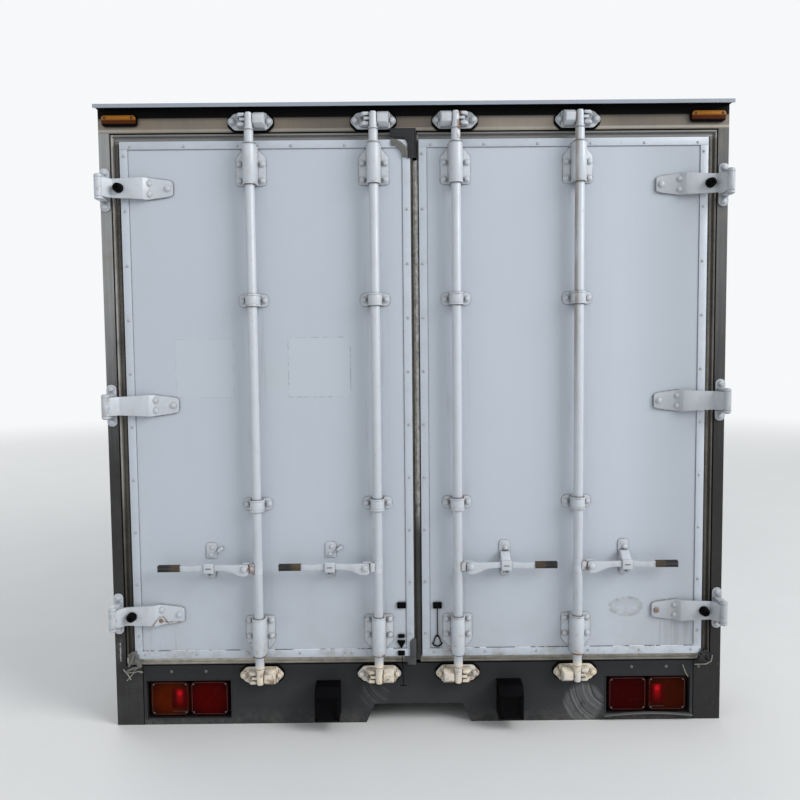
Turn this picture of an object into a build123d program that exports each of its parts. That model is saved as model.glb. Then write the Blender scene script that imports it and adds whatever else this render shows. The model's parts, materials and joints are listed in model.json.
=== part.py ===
from build123d import *
import os

os.makedirs("parts", exist_ok=True)

# Refrigerated truck body, taken off its chassis and standing on the ground on its underframe.
# Millimetres. +Z is up, z = 0 is the ground, the two rear doors face -Y, the cooling unit +Y.
# The origin is on the ground under the centre of the whole outline.
# Every like pair is modelled at x > 0 and mirrored in the plane x = 0.

# Sides of round forms that nothing turns in
ROUND_SIDES = 12

# Box body
BODY_WIDTH = 2250.0
BODY_LENGTH = 6200.0
BODY_HEIGHT = 2257.0
SIDE_WALL = 75.0
FRONT_WALL = 96.0
ROOF_THICKNESS = 90.0
FLOOR_THICKNESS = 100.0
FLOOR_GROOVE_WIDTH = 30.0
FLOOR_GROOVE_DEPTH = 6.0
FLOOR_GROOVE_COUNT = 12
RAIL_SHEET = 4.0
ROOF_RAIL_LEG = 78.0
BASE_RAIL_LEG = 92.0
FRONT_POST_LEG = 110.0

# Underframe
SILL_HEIGHT = 72.0
SILL_WIDTH = 60.0
SILL_CENTRE_X = 430.0
SILL_FRONT_GAP = 20.0
SILL_WALL = 7.0
CROSS_HEIGHT = 53.0
CROSS_WIDTH = 48.0
CROSS_WALL = 5.0
CROSS_COUNT = 11
FOOT_LENGTH = 160.0
FOOT_PLATE = 9.0
FOOT_HEIGHT = 60.0
FOOT_HOLE_PITCH = 90.0
FOOT_HOLE_RADIUS = 7.5
FOOT_END = 400.0
FOOT_COUNT = 3

# Rear frame
FRAME_DEPTH = 110.0
JAMB_WIDTH = 38.0
HEADER_HEIGHT = 85.0
STEP_DEPTH = 24.0
STEP_WIDTH = 30.0
POST_FOOT_WIDTH = 100.0
SKIRT_PLATE = 8.0
SKIRT_TOP = 20.0
CUTOUT_TOP_WIDTH = 328.0
CUTOUT_BOTTOM_WIDTH = 392.0
CUTOUT_HEIGHT = 71.0
VISOR_REACH = 50.0
VISOR_LIP = 13.0
VISOR_SHEET = 4.0
VISOR_LAP = 70.0

# Lamps and dock bumpers on the rear frame
LAMP_INSET = 10.0
LAMP_RISE = 22.0
LAMP_POCKET_WIDTH = 318.0
LAMP_POCKET_HEIGHT = 148.0
LAMP_POCKET_DEPTH = 52.0
LAMP_SHEET = 3.0
LENS_HEIGHT = 132.0
LENS_DEPTH = 40.0
LENS_GAP = 4.0
LENS_WIDTH = 144.0
LENS_CHAMFER = 5.0
MARKER_INSET = 17.0
MARKER_RISE = 23.0
MARKER_WIDTH = 124.0
MARKER_HEIGHT = 36.0
MARKER_DEPTH = 22.0
MARKER_CORNER = 8.0
MARKER_CHAMFER = 5.0
BUMPER_X = 335.0
BUMPER_Z = 103.0
BUMPER_WIDTH = 90.0
BUMPER_HEIGHT = 122.0
BUMPER_DEPTH = 95.0
BUMPER_SLOPE = 30.0
BUMPER_CHAMFER = 12.0

# Door leaves
DOOR_GAP = 33.0
DOOR_SIDE_GAP = 40.0
DOOR_MIDDLE_GAP = 30.0
DOOR_THICKNESS = 90.0
DOOR_PROUD = 12.0
TRIM_WIDTH = 28.0
TRIM_PROUD = 4.0
SEAL_CLEARANCE = 3.0
MIDDLE_LIP = 8.0
SEAL_INSET = 10.0
SEAL_DEPTH = 62.0
FLAP_REACH = 80.0
FLAP_DROP = 66.0
FLAP_RISE = 38.0
FLAP_WIDTH = 30.0
FLAP_THICKNESS = 5.0

# Hinges
HINGE_LOW_INSET = 167.0
HINGE_HIGH_INSET = 166.0
PIN_STANDOFF = 68.0
PIN_RADIUS = 8.0
PIN_CLEARANCE = 0.05
KNUCKLE_RADIUS = 14.0
STRAP_ROOT_HEIGHT = 66.0
STRAP_HEIGHT = 77.0
STRAP_TIP_HEIGHT = 53.0
STRAP_THICKNESS = 9.0
STRAP_REACH = 247.0
STRAP_RAISE = 16.0
STRAP_SLOPE = 42.0
STRAP_STEP = 144.0
STRAP_TAPER_FROM = 157.0
STRAP_CORNER = 12.0
EAR_THICKNESS = 9.0
EAR_CLEARANCE = 0.3
HINGE_PLATE = 6.0
HINGE_PLATE_WIDTH = 36.0
HINGE_PLATE_HEIGHT = 152.0
HINGE_PLATE_CORNER = 11.0
PIN_HEAD_RADIUS = 11.0
PIN_HEAD_HEIGHT = 4.0
STOP_OFFSET = 61.0
STOP_RADIUS = 17.0
STOP_HEIGHT = 28.0
STOP_TAPER = 5.0

# Lock rods, their guides and keepers
ROD_INNER_INSET = 130.0
ROD_OUTER_INSET = 466.0
ROD_RADIUS = 17.0
ROD_STANDOFF = 38.0
ROD_END_RADIUS = 12.5
ROD_END_START = 33.0
ROD_END_REACH = 22.0
ROD_CLEARANCE = 0.3
COLLAR_RADIUS = 15.0
GUIDE_WALL = 6.5
GUIDE_FLANGE = 5.0
GUIDE_WIDTH = 105.0
GUIDE_LENGTH = 95.0
GUIDE_TAPER = 35.0
GUIDE_EDGE_GAP = 20.0
SADDLE_LENGTH = 44.0
SADDLE_CORNER = 12.0
SADDLE_LOW_INSET = 575.0
SADDLE_HIGH_INSET = 565.0
PAD_THICKNESS = 6.0
KEEPER_PLATE = 7.0
KEEPER_WIDTH = 155.0
KEEPER_HEIGHT = 58.0
KEEPER_EDGE_GAP = 4.0
KEEPER_CORNER = 22.0
KEEPER_POINT_HEIGHT = 16.0
KEEPER_BLOCK_HEIGHT = 52.0
KEEPER_BLOCK_FRONT = 56.0
KEEPER_BLOCK_REACH = 54.0
KEEPER_RIB_REACH = 45.0
KEEPER_RIB_FRONT = 48.0
KEEPER_RIB_THICKNESS = 12.0
KEEPER_RIB_PITCH = 28.0
KEEPER_CHAMFER = 5.0
CAM_THICKNESS = 13.0
CAM_HEIGHT = 18.0
CAM_REACH = 36.0
CAM_CLEARANCE = 2.0
CAM_CORNER = 5.0
LUG_REACH = 32.0
LUG_HEIGHT = 10.0

# Handles and the catches that hold them
HANDLE_RISE = 347.0
HANDLE_CROWN = 16.0
HANDLE_ROD_GAP = 77.0
HANDLE_PIVOT = 46.0
HANDLE_ROOT_HEIGHT = 44.0
HANDLE_ARM_HEIGHT = 22.0
HANDLE_THICKNESS = 12.0
HANDLE_STANDOFF = 46.0
HANDLE_CORNER = 7.0
HANDLE_TAPER = 60.0
HANDLE_EAR = 14.0
GRIP_LENGTH = 80.0
GRIP_HEIGHT = 25.0
GRIP_SLEEVE = 4.0
GRIP_CHAMFER = 7.0
HUB_HEIGHT = 55.0
HUB_WALL = 5.0
HUB_LUG_THICKNESS = 8.0
HUB_LUG_HEIGHT = 40.0
CATCH_OFFSET = 174.0
CATCH_WIDTH = 40.0
CATCH_HEIGHT = 131.0
CATCH_PLATE = 4.0
CATCH_DROP = 40.0
CATCH_CORNER = 10.0
CATCH_SHELF = 8.0
CATCH_GAP = 1.0
CATCH_LIP = 5.0
HASP_THICKNESS = 8.0
HASP_INSET = 6.0

# Cooling unit on the front wall and evaporator inside
UNIT_WIDTH = 1500.0
UNIT_HEIGHT = 560.0
UNIT_DEPTH = 400.0
UNIT_TOP_GAP = 60.0
UNIT_WALL = 6.0
UNIT_CORNER = 60.0
UNIT_SLOPE_DEPTH = 110.0
UNIT_SLOPE_HEIGHT = 90.0
UNIT_BACK = 8.0
LOUVRE_COUNT = 5
LOUVRE_PITCH = 58.0
LOUVRE_HEIGHT = 22.0
LOUVRE_LENGTH = 200.0
LOUVRE_RISE = 130.0
LOUVRE_INSET = 104.0
FAN_OFFSET = 340.0
FAN_RADIUS = 180.0
FAN_TIP_GAP = 10.0
FAN_BLADES = 5
FAN_DEPTH = 46.0
FAN_SETBACK = 30.0
BLADE_THICKNESS = 4.0
BLADE_WIDTH = 70.0
BLADE_ANGLE = 35.0
BLADE_ROOT = 5.0
MOTOR_RADIUS = 48.0
MOTOR_GAP = 6.0
HUB_RADIUS = 55.0
HUB_NOSE = 6.0
SHAFT_RADIUS = 8.0
SHAFT_CLEARANCE = 0.05
GUARD_WIRE = 5.0
GUARD_HUB_RADIUS = 40.0
GUARD_RINGS = 2
GUARD_SPOKES = 6
GUARD_SIDES = 12
COIL_DEPTH = 70.0
COIL_MARGIN = 30.0
COIL_OPENING_RADIUS = 60.0
EVAPORATOR_WIDTH = 1240.0
EVAPORATOR_HEIGHT = 230.0
EVAPORATOR_DEPTH = 520.0
EVAPORATOR_FANS = 3
EVAPORATOR_SLOPE = 60.0
EVAPORATOR_LIP = 30.0
OUTLET_RADIUS = 85.0
OUTLET_DEPTH = 40.0
OUTLET_HUB_RADIUS = 30.0

# Rails along the inside of the load space
CARGO_RAIL_HEIGHT = 60.0
CARGO_RAIL_DEPTH = 12.0
CARGO_RAIL_END = 60.0
CARGO_RAIL_PITCH = 610.0
CARGO_RAIL_COUNT = 3

# Levels and faces that follow from those sizes
HALF = BODY_WIDTH / 2
REAR = (BUMPER_DEPTH - BODY_LENGTH - UNIT_DEPTH) / 2
FRONT = REAR + BODY_LENGTH
FLOOR_BOTTOM = SILL_HEIGHT + CROSS_HEIGHT
FLOOR_TOP = FLOOR_BOTTOM + FLOOR_THICKNESS
ROOF_TOP = BODY_HEIGHT - RAIL_SHEET
ROOF_BOTTOM = ROOF_TOP - ROOF_THICKNESS
WALL_OUT = HALF - RAIL_SHEET
WALL_IN = WALL_OUT - SIDE_WALL
FRONT_OUT = FRONT - RAIL_SHEET
FRONT_IN = FRONT_OUT - FRONT_WALL
PANEL_REAR = REAR + FRAME_DEPTH
JAMB = HALF - JAMB_WIDTH
OPENING_TOP = ROOF_TOP - HEADER_HEIGHT
STEP_Y = REAR + FRAME_DEPTH - STEP_DEPTH
SKIRT_HALF = HALF - POST_FOOT_WIDTH
SILL_FRONT = FRONT - SILL_FRONT_GAP

LAMP_CENTRE_X = SKIRT_HALF - LAMP_INSET - LAMP_POCKET_WIDTH / 2
LAMP_CENTRE_Z = LAMP_RISE + LAMP_POCKET_HEIGHT / 2
MARKER_X = HALF - MARKER_INSET - MARKER_WIDTH / 2
MARKER_Z = OPENING_TOP + MARKER_RISE + MARKER_HEIGHT / 2

DOOR_IN = DOOR_MIDDLE_GAP / 2
DOOR_OUT = JAMB - DOOR_SIDE_GAP
DOOR_LOW = FLOOR_TOP + DOOR_GAP
DOOR_HIGH = OPENING_TOP - DOOR_GAP
SKIN = REAR - DOOR_PROUD
DOOR_BACK = SKIN + DOOR_THICKNESS
TRIM_FACE = SKIN - TRIM_PROUD

PIN_X = HALF - HINGE_PLATE_WIDTH / 2
PIN_Y = REAR - PIN_STANDOFF
HINGE_LOW = DOOR_LOW + HINGE_LOW_INSET
HINGE_HIGH = DOOR_HIGH - HINGE_HIGH_INSET
HINGE_MIDDLE = (HINGE_LOW + HINGE_HIGH) / 2
HINGE_LEVELS = [HINGE_LOW, HINGE_MIDDLE, HINGE_HIGH]
STOP_LEVELS = [HINGE_LOW, HINGE_HIGH]

ROD_XS = [DOOR_IN + ROD_INNER_INSET, DOOR_OUT - ROD_OUTER_INSET]
ROD_Y = SKIN - ROD_STANDOFF
SADDLE_LEVELS = [DOOR_LOW + SADDLE_LOW_INSET, DOOR_HIGH - SADDLE_HIGH_INSET]
GUIDE_BORE = ROD_RADIUS + ROD_CLEARANCE
GUIDE_RADIUS = GUIDE_BORE + GUIDE_WALL
KEEPER_HIGH = OPENING_TOP + KEEPER_EDGE_GAP + KEEPER_HEIGHT / 2
KEEPER_LOW = FLOOR_TOP - KEEPER_EDGE_GAP - KEEPER_HEIGHT / 2

HANDLE_Z = DOOR_LOW + HANDLE_RISE
HANDLE_LENGTH = ROD_XS[1] - ROD_XS[0] - HANDLE_ROD_GAP
HANDLE_BACK = SKIN - HANDLE_STANDOFF
HANDLE_FRONT = HANDLE_BACK - HANDLE_THICKNESS
HANDLE_TOP = HANDLE_Z + HANDLE_CROWN
HANDLE_ARM_LOW = HANDLE_TOP - HANDLE_ARM_HEIGHT

UNIT_TOP = ROOF_TOP - UNIT_TOP_GAP
UNIT_BOTTOM = UNIT_TOP - UNIT_HEIGHT
UNIT_FRONT = FRONT + UNIT_DEPTH
FAN_Z = (UNIT_TOP + UNIT_BOTTOM) / 2
FAN_FRONT = UNIT_FRONT - FAN_SETBACK
FAN_BACK = FAN_FRONT - FAN_DEPTH
FAN_OPENING_RADIUS = FAN_RADIUS + FAN_TIP_GAP


def block(x0, x1, y0, y1, z0, z1):
    """A box between two corners."""
    return Pos((x0 + x1) / 2, (y0 + y1) / 2, (z0 + z1) / 2) * Box(x1 - x0, y1 - y0, z1 - z0)


def rod_z(x, y, z0, z1, radius):
    """An upright cylinder."""
    return Pos(x, y, (z0 + z1) / 2) * Cylinder(radius, z1 - z0)


def rod_y(x, z, y0, y1, radius):
    """A cylinder along Y."""
    return Pos(x, (y0 + y1) / 2, z) * Rot(90, 0, 0) * Cylinder(radius, y1 - y0)


def rod_x(y, z, x0, x1, radius):
    """A cylinder along X."""
    return Pos((x0 + x1) / 2, y, z) * Rot(0, 90, 0) * Cylinder(radius, x1 - x0)


def prism_z(x, y, z0, z1, flat_radius, sides=8):
    """An upright bar with flat sides, one of them square to X."""
    face = Pos(x, y, z0) * Rot(0, 0, 180 / sides) * RegularPolygon(flat_radius, sides, major_radius=False)
    return extrude(face, amount=z1 - z0, dir=(0, 0, 1))


def prism_y(x, z, y0, y1, radius, sides):
    """A bar along Y with flat sides."""
    face = Pos(x, y0, z) * Rot(90, 0, 0) * RegularPolygon(radius, sides)
    return extrude(face, amount=y1 - y0, dir=(0, 1, 0))


def plate_xz(points, y0, y1):
    """An outline in the XZ plane, made solid from y0 to y1."""
    face = make_face(Polyline(*[(x, y0, z) for x, z in points], close=True))
    return extrude(face, amount=y1 - y0, dir=(0, 1, 0))


def plate_xy(points, z0, z1):
    """An outline in the XY plane, made solid from z0 to z1."""
    face = make_face(Polyline(*[(x, y, z0) for x, y in points], close=True))
    return extrude(face, amount=z1 - z0, dir=(0, 0, 1))


def plate_yz(points, x0, x1):
    """An outline in the YZ plane, made solid from x0 to x1."""
    face = make_face(Polyline(*[(x0, y, z) for y, z in points], close=True))
    return extrude(face, amount=x1 - x0, dir=(1, 0, 0))


def cut_corners(shape, axis, size):
    """The shape with its edges along the axis cut off."""
    return chamfer(shape.edges().filter_by(axis), size)


def ring(x0, x1, y0, y1, z0, z1, left, right, bottom, top):
    """A rectangular frame with its own width on each of its four sides."""
    return block(x0, x1, y0, y1, z0, z1) - block(x0 + left, x1 - right, y0 - 1, y1 + 1, z0 + bottom, z1 - top)


def mirrored(shape):
    """The same shape on the other side of the plane x = 0."""
    return mirror(shape, about=Plane.YZ)


def both_sides(shapes):
    """The shapes and their mirror images."""
    return shapes + [mirrored(shape) for shape in shapes]


def save(name, shapes):
    """Writes one node, each of its solids closed and apart from the others."""
    solids = [solid for shape in shapes for solid in shape.solids()]
    export_step(Compound(children=solids), f"parts/{name}.step")


# Insulated panels of the box


def floor_panel():
    """Insulated floor with drain grooves along it."""
    floor = block(-WALL_IN, WALL_IN, PANEL_REAR, FRONT_IN, FLOOR_BOTTOM, FLOOR_TOP)
    pitch = 2 * WALL_IN / FLOOR_GROOVE_COUNT
    for i in range(FLOOR_GROOVE_COUNT):
        x = (i + 0.5) * pitch - WALL_IN
        x0 = x - FLOOR_GROOVE_WIDTH / 2
        x1 = x + FLOOR_GROOVE_WIDTH / 2
        floor -= block(x0, x1, PANEL_REAR - 1, FRONT_IN + 1, FLOOR_TOP - FLOOR_GROOVE_DEPTH, FLOOR_TOP + 1)
    return floor


def side_wall():
    return block(WALL_IN, WALL_OUT, PANEL_REAR, FRONT_OUT, FLOOR_BOTTOM, ROOF_BOTTOM)


def front_wall():
    return block(-WALL_IN, WALL_IN, FRONT_IN, FRONT_OUT, FLOOR_BOTTOM, ROOF_BOTTOM)


def roof_panel():
    return block(-WALL_OUT, WALL_OUT, PANEL_REAR, FRONT_OUT, ROOF_BOTTOM, ROOF_TOP)


def edge_rails():
    """Aluminium angles over the long edges and the front corners."""
    roof_low = BODY_HEIGHT - ROOF_RAIL_LEG
    base_low = FLOOR_BOTTOM - RAIL_SHEET
    base_high = FLOOR_BOTTOM + BASE_RAIL_LEG
    roof = block(HALF - ROOF_RAIL_LEG, HALF, PANEL_REAR, FRONT_OUT, roof_low, BODY_HEIGHT)
    outer_edge = roof.edges().filter_by(Axis.Y).sort_by(Axis.Z)[-2:].sort_by(Axis.X)[-1:]
    roof = chamfer(outer_edge, RAIL_SHEET / 2)
    roof -= block(0, WALL_OUT, PANEL_REAR - 1, FRONT_OUT + 1, 0, ROOF_TOP)
    base = block(HALF - BASE_RAIL_LEG, HALF, PANEL_REAR, FRONT_OUT, base_low, base_high)
    base -= block(0, WALL_OUT, PANEL_REAR - 1, FRONT_OUT + 1, FLOOR_BOTTOM, BODY_HEIGHT)
    post = block(HALF - FRONT_POST_LEG, HALF, FRONT - FRONT_POST_LEG, FRONT, base_high, roof_low)
    post -= block(0, WALL_OUT, REAR, FRONT_OUT, 0, BODY_HEIGHT)
    return both_sides([roof, base, post])


def cargo_rails():
    """Rails along the inner side walls: a scuff rail at the floor and lashing rails above it."""
    rails = []
    for i in range(CARGO_RAIL_COUNT):
        low = FLOOR_TOP + CARGO_RAIL_HEIGHT / 2 + i * CARGO_RAIL_PITCH
        rail = block(
            WALL_IN - CARGO_RAIL_DEPTH, WALL_IN, PANEL_REAR + CARGO_RAIL_END, FRONT_IN - CARGO_RAIL_END,
            low, low + CARGO_RAIL_HEIGHT,
        )
        rails.append(rail)
    return both_sides(rails)


# Underframe


def sills():
    """Two long channels with the drilled foot plates that bolt the body to its carrier."""
    x_in = SILL_CENTRE_X - SILL_WIDTH / 2
    x_out = SILL_CENTRE_X + SILL_WIDTH / 2
    x_web = x_out - SILL_WALL
    sill = block(x_in, x_out, PANEL_REAR, SILL_FRONT, 0, SILL_HEIGHT)
    sill -= block(x_in - 1, x_web, PANEL_REAR - 1, SILL_FRONT + 1, SILL_WALL, SILL_HEIGHT - SILL_WALL)
    for y in foot_places():
        sill += block(x_out, x_out + FOOT_PLATE, y - FOOT_LENGTH / 2, y + FOOT_LENGTH / 2, 0, FOOT_HEIGHT)
        for end in (-1, 1):
            hole_y = y + end * FOOT_HOLE_PITCH / 2
            hole_end = x_out + FOOT_PLATE + 1
            sill -= rod_x(hole_y, FOOT_HEIGHT / 2, x_web - 1, hole_end, FOOT_HOLE_RADIUS)
    return both_sides([sill])


def foot_places():
    """Where the foot plates sit along the sills."""
    first = PANEL_REAR + FOOT_END
    last = FRONT - FOOT_END
    return [first + (last - first) * i / (FOOT_COUNT - 1) for i in range(FOOT_COUNT)]


def cross_members():
    """Channels across the body between the sills and the floor."""
    members = []
    first = PANEL_REAR + CROSS_WIDTH
    last = SILL_FRONT - CROSS_WIDTH
    reach = HALF - BASE_RAIL_LEG
    for i in range(CROSS_COUNT):
        y = first + (last - first) * i / (CROSS_COUNT - 1)
        low = y - CROSS_WIDTH / 2
        high = y + CROSS_WIDTH / 2
        member = block(-reach, reach, low, high, SILL_HEIGHT, FLOOR_BOTTOM)
        web = high - CROSS_WALL
        member -= block(-HALF, HALF, low - 1, web, SILL_HEIGHT + CROSS_WALL, FLOOR_BOTTOM - CROSS_WALL)
        members.append(member)
    return members


# Rear frame


def rear_posts():
    """Door posts with a step that the leaf closes against, and a wider foot beside the skirt."""
    profile = [
        (JAMB, REAR), (HALF, REAR), (HALF, PANEL_REAR),
        (WALL_IN, PANEL_REAR), (WALL_IN, STEP_Y), (JAMB, STEP_Y),
    ]
    post = plate_xy(profile, FLOOR_TOP, OPENING_TOP)
    foot = block(SKIRT_HALF, HALF, REAR, PANEL_REAR, 0, FLOOR_TOP)
    return both_sides([post + foot])


def rear_header():
    profile = [
        (REAR, OPENING_TOP), (STEP_Y, OPENING_TOP), (STEP_Y, OPENING_TOP - STEP_WIDTH),
        (PANEL_REAR, OPENING_TOP - STEP_WIDTH), (PANEL_REAR, ROOF_TOP), (REAR, ROOF_TOP),
    ]
    beam = plate_yz(profile, -HALF, HALF)
    for side in (-1, 1):
        inner, outer = sorted((side * WALL_IN, side * (HALF + 1)))
        beam -= block(inner, outer, STEP_Y - 1, PANEL_REAR + 1, OPENING_TOP - STEP_WIDTH - 1, OPENING_TOP)
    return beam


def rear_sill():
    """Skirt under the doors: a folded plate with lamp windows and a cut-out in its middle."""
    beam = block(-SKIRT_HALF, SKIRT_HALF, REAR, PANEL_REAR, 0, FLOOR_TOP)
    hollow = SKIRT_HALF - SKIRT_PLATE
    beam -= block(-hollow, hollow, REAR + SKIRT_PLATE, PANEL_REAR + 1, -1, FLOOR_TOP - SKIRT_TOP)
    cutout = [
        (-CUTOUT_BOTTOM_WIDTH / 2, -1), (CUTOUT_BOTTOM_WIDTH / 2, -1),
        (CUTOUT_TOP_WIDTH / 2, CUTOUT_HEIGHT), (-CUTOUT_TOP_WIDTH / 2, CUTOUT_HEIGHT),
    ]
    beam -= plate_xz(cutout, REAR - 1, PANEL_REAR + 1)
    for window in both_sides([lamp_space(REAR - 1, REAR + SKIRT_PLATE + 1, 0)]):
        beam -= window
    return beam


def lamp_space(y0, y1, inset):
    """The outline of a lamp pocket, drawn in by the inset, from y0 to y1."""
    half_width = LAMP_POCKET_WIDTH / 2 - inset
    half_height = LAMP_POCKET_HEIGHT / 2 - inset
    return block(
        LAMP_CENTRE_X - half_width, LAMP_CENTRE_X + half_width, y0, y1,
        LAMP_CENTRE_Z - half_height, LAMP_CENTRE_Z + half_height,
    )


def roof_visor():
    """Rain gutter over the doors, lapped over the rear edge of the roof."""
    front = REAR - VISOR_REACH
    lap = REAR + VISOR_LAP
    lip = BODY_HEIGHT - VISOR_LIP
    profile = [
        (front, BODY_HEIGHT), (lap, BODY_HEIGHT), (lap, ROOF_TOP),
        (front + VISOR_SHEET, ROOF_TOP), (front + VISOR_SHEET, lip), (front, lip),
    ]
    return plate_yz(profile, -HALF, HALF)


def lamp_boxes():
    """Open pans behind the lamp windows of the skirt."""
    back = REAR + LAMP_POCKET_DEPTH
    return both_sides([lamp_space(REAR, back, 0) - lamp_space(REAR - 1, back - LAMP_SHEET, LAMP_SHEET)])


def tail_lens(centre_x):
    """One lens block, seated on the back of its pan."""
    back = REAR + LAMP_POCKET_DEPTH - LAMP_SHEET
    lens = block(
        centre_x - LENS_WIDTH / 2, centre_x + LENS_WIDTH / 2, back - LENS_DEPTH, back,
        LAMP_CENTRE_Z - LENS_HEIGHT / 2, LAMP_CENTRE_Z + LENS_HEIGHT / 2,
    )
    return chamfer(lens.faces().sort_by(Axis.Y)[0].edges(), LENS_CHAMFER)


def red_lenses():
    return both_sides([tail_lens(LAMP_CENTRE_X - (LENS_WIDTH + LENS_GAP) / 2)])


def amber_lamps():
    """The outer halves of the tail lamps, and the marker lamps at the ends of the header."""
    marker = block(
        MARKER_X - MARKER_WIDTH / 2, MARKER_X + MARKER_WIDTH / 2, REAR - MARKER_DEPTH, REAR,
        MARKER_Z - MARKER_HEIGHT / 2, MARKER_Z + MARKER_HEIGHT / 2,
    )
    marker = cut_corners(marker, Axis.Y, MARKER_CORNER)
    marker = chamfer(marker.faces().sort_by(Axis.Y)[0].edges(), MARKER_CHAMFER)
    return both_sides([tail_lens(LAMP_CENTRE_X + (LENS_WIDTH + LENS_GAP) / 2), marker])


def dock_bumpers():
    """Rubber buffers with a sloped top."""
    low = BUMPER_Z - BUMPER_HEIGHT / 2
    high = BUMPER_Z + BUMPER_HEIGHT / 2
    front = REAR - BUMPER_DEPTH
    profile = [
        (REAR, low), (REAR, high), (front + BUMPER_SLOPE, high), (front, high - BUMPER_SLOPE),
        (front, low + BUMPER_CHAMFER), (front + BUMPER_CHAMFER, low),
    ]
    return both_sides([plate_yz(profile, BUMPER_X - BUMPER_WIDTH / 2, BUMPER_X + BUMPER_WIDTH / 2)])


# Hinges


def hinge_brackets():
    """Fixed halves of the hinges: a plate on the post, two ears and the pin through them."""
    brackets = []
    ear_from = STRAP_ROOT_HEIGHT / 2 + EAR_CLEARANCE
    ear_to = ear_from + EAR_THICKNESS
    plate_front = REAR - HINGE_PLATE
    for level in HINGE_LEVELS:
        plate = block(
            PIN_X - HINGE_PLATE_WIDTH / 2, PIN_X + HINGE_PLATE_WIDTH / 2, plate_front, REAR,
            level - HINGE_PLATE_HEIGHT / 2, level + HINGE_PLATE_HEIGHT / 2,
        )
        bracket = cut_corners(plate, Axis.Y, HINGE_PLATE_CORNER)
        bracket += rod_z(PIN_X, PIN_Y, level - ear_from - 1, level + ear_from + 1, PIN_RADIUS)
        for side in (-1, 1):
            z0, z1 = sorted((level + side * ear_from, level + side * ear_to))
            bracket += block(PIN_X - KNUCKLE_RADIUS, PIN_X + KNUCKLE_RADIUS, PIN_Y, plate_front, z0, z1)
            bracket += prism_z(PIN_X, PIN_Y, z0, z1, KNUCKLE_RADIUS)
            z2, z3 = sorted((level + side * ear_to, level + side * (ear_to + PIN_HEAD_HEIGHT)))
            bracket += prism_z(PIN_X, PIN_Y, z2, z3, PIN_HEAD_RADIUS, 6)
        brackets.append(bracket)
    return both_sides(brackets)


def strap_outline():
    """The strap seen from above: from the knuckle down to the seal, over the trim and onto the skin."""
    raised = SKIN - STRAP_RAISE
    front = raised - STRAP_THICKNESS
    slope_x = PIN_X - STRAP_SLOPE
    step_x = PIN_X - STRAP_STEP
    foot_x = step_x - STRAP_RAISE
    tip_x = PIN_X - STRAP_REACH
    bend = STRAP_THICKNESS / 2
    return [
        (PIN_X, PIN_Y - KNUCKLE_RADIUS), (slope_x, front), (step_x, front),
        (foot_x, SKIN - STRAP_THICKNESS), (tip_x, SKIN - STRAP_THICKNESS), (tip_x, SKIN),
        (foot_x + bend, SKIN), (step_x + bend, raised), (slope_x + bend, raised), (PIN_X, PIN_Y),
    ]


def hinge_straps():
    """Moving halves of the hinges, each a strap that widens from a bored knuckle and tapers to its tip."""
    straps = []
    tip = PIN_X - STRAP_REACH
    end = PIN_X + KNUCKLE_RADIUS + 1
    widen_from = PIN_X - STRAP_SLOPE
    taper_from = PIN_X - STRAP_TAPER_FROM
    tip_half = STRAP_TIP_HEIGHT / 2
    root_half = STRAP_ROOT_HEIGHT / 2
    for level in HINGE_LEVELS:
        low = level - STRAP_HEIGHT / 2
        high = level + STRAP_HEIGHT / 2
        strap = plate_xy(strap_outline(), low, high)
        strap += prism_z(PIN_X, PIN_Y, low, high, KNUCKLE_RADIUS)
        strap -= rod_z(PIN_X, PIN_Y, low - 1, high + 1, PIN_RADIUS + PIN_CLEARANCE)
        side_view = [
            (widen_from, level - root_half), (end, level - root_half), (end, level + root_half),
            (widen_from, level + root_half), (taper_from, high),
            (tip + STRAP_CORNER, level + tip_half), (tip, level + tip_half - STRAP_CORNER),
            (tip, level - tip_half + STRAP_CORNER), (tip + STRAP_CORNER, level - tip_half), (taper_from, low),
        ]
        strap &= plate_xz(side_view, PIN_Y - 2 * KNUCKLE_RADIUS, REAR)
        straps.append(strap)
    return straps


def door_stops():
    """Rubber stops on the top and bottom straps, which meet the side of the body."""
    base = SKIN - STRAP_RAISE - STRAP_THICKNESS
    stops = []
    for level in STOP_LEVELS:
        foot = Pos(PIN_X - STOP_OFFSET, base, level) * Rot(90, 0, 0) * RegularPolygon(STOP_RADIUS, ROUND_SIDES)
        stops.append(extrude(foot, amount=STOP_HEIGHT, taper=STOP_TAPER))
    return stops


# Door leaves


def door_panel():
    return block(DOOR_IN, DOOR_OUT, SKIN, DOOR_BACK, DOOR_LOW, DOOR_HIGH)


def door_trim():
    """Edge moulding screwed round the outer skin."""
    widths = [TRIM_WIDTH] * 4
    return ring(DOOR_IN, DOOR_OUT, TRIM_FACE, SKIN, DOOR_LOW, DOOR_HIGH, *widths)


def door_seal():
    """Rubber seal that wraps the edge of the leaf and fills the gap to the frame."""
    lip = DOOR_GAP - SEAL_CLEARANCE
    side = DOOR_SIDE_GAP - SEAL_CLEARANCE
    front = SKIN + SEAL_INSET
    back = front + SEAL_DEPTH
    x0 = DOOR_IN - MIDDLE_LIP
    x1 = DOOR_OUT + side
    return ring(x0, x1, front, back, DOOR_LOW - lip, DOOR_HIGH + lip, MIDDLE_LIP, side, lip, lip)


def guide_hat(x, z0, z1, radius):
    """The hat section of a pressed guide, from the skin round the front of the rod."""
    return block(x - radius, x + radius, ROD_Y, SKIN, z0, z1) + prism_z(x, ROD_Y, z0, z1, radius)


def rod_channel(x, z0, z1):
    """The space that a guide leaves for the rod."""
    return guide_hat(x, z0 - 1, z1 + 1, GUIDE_BORE)


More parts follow.
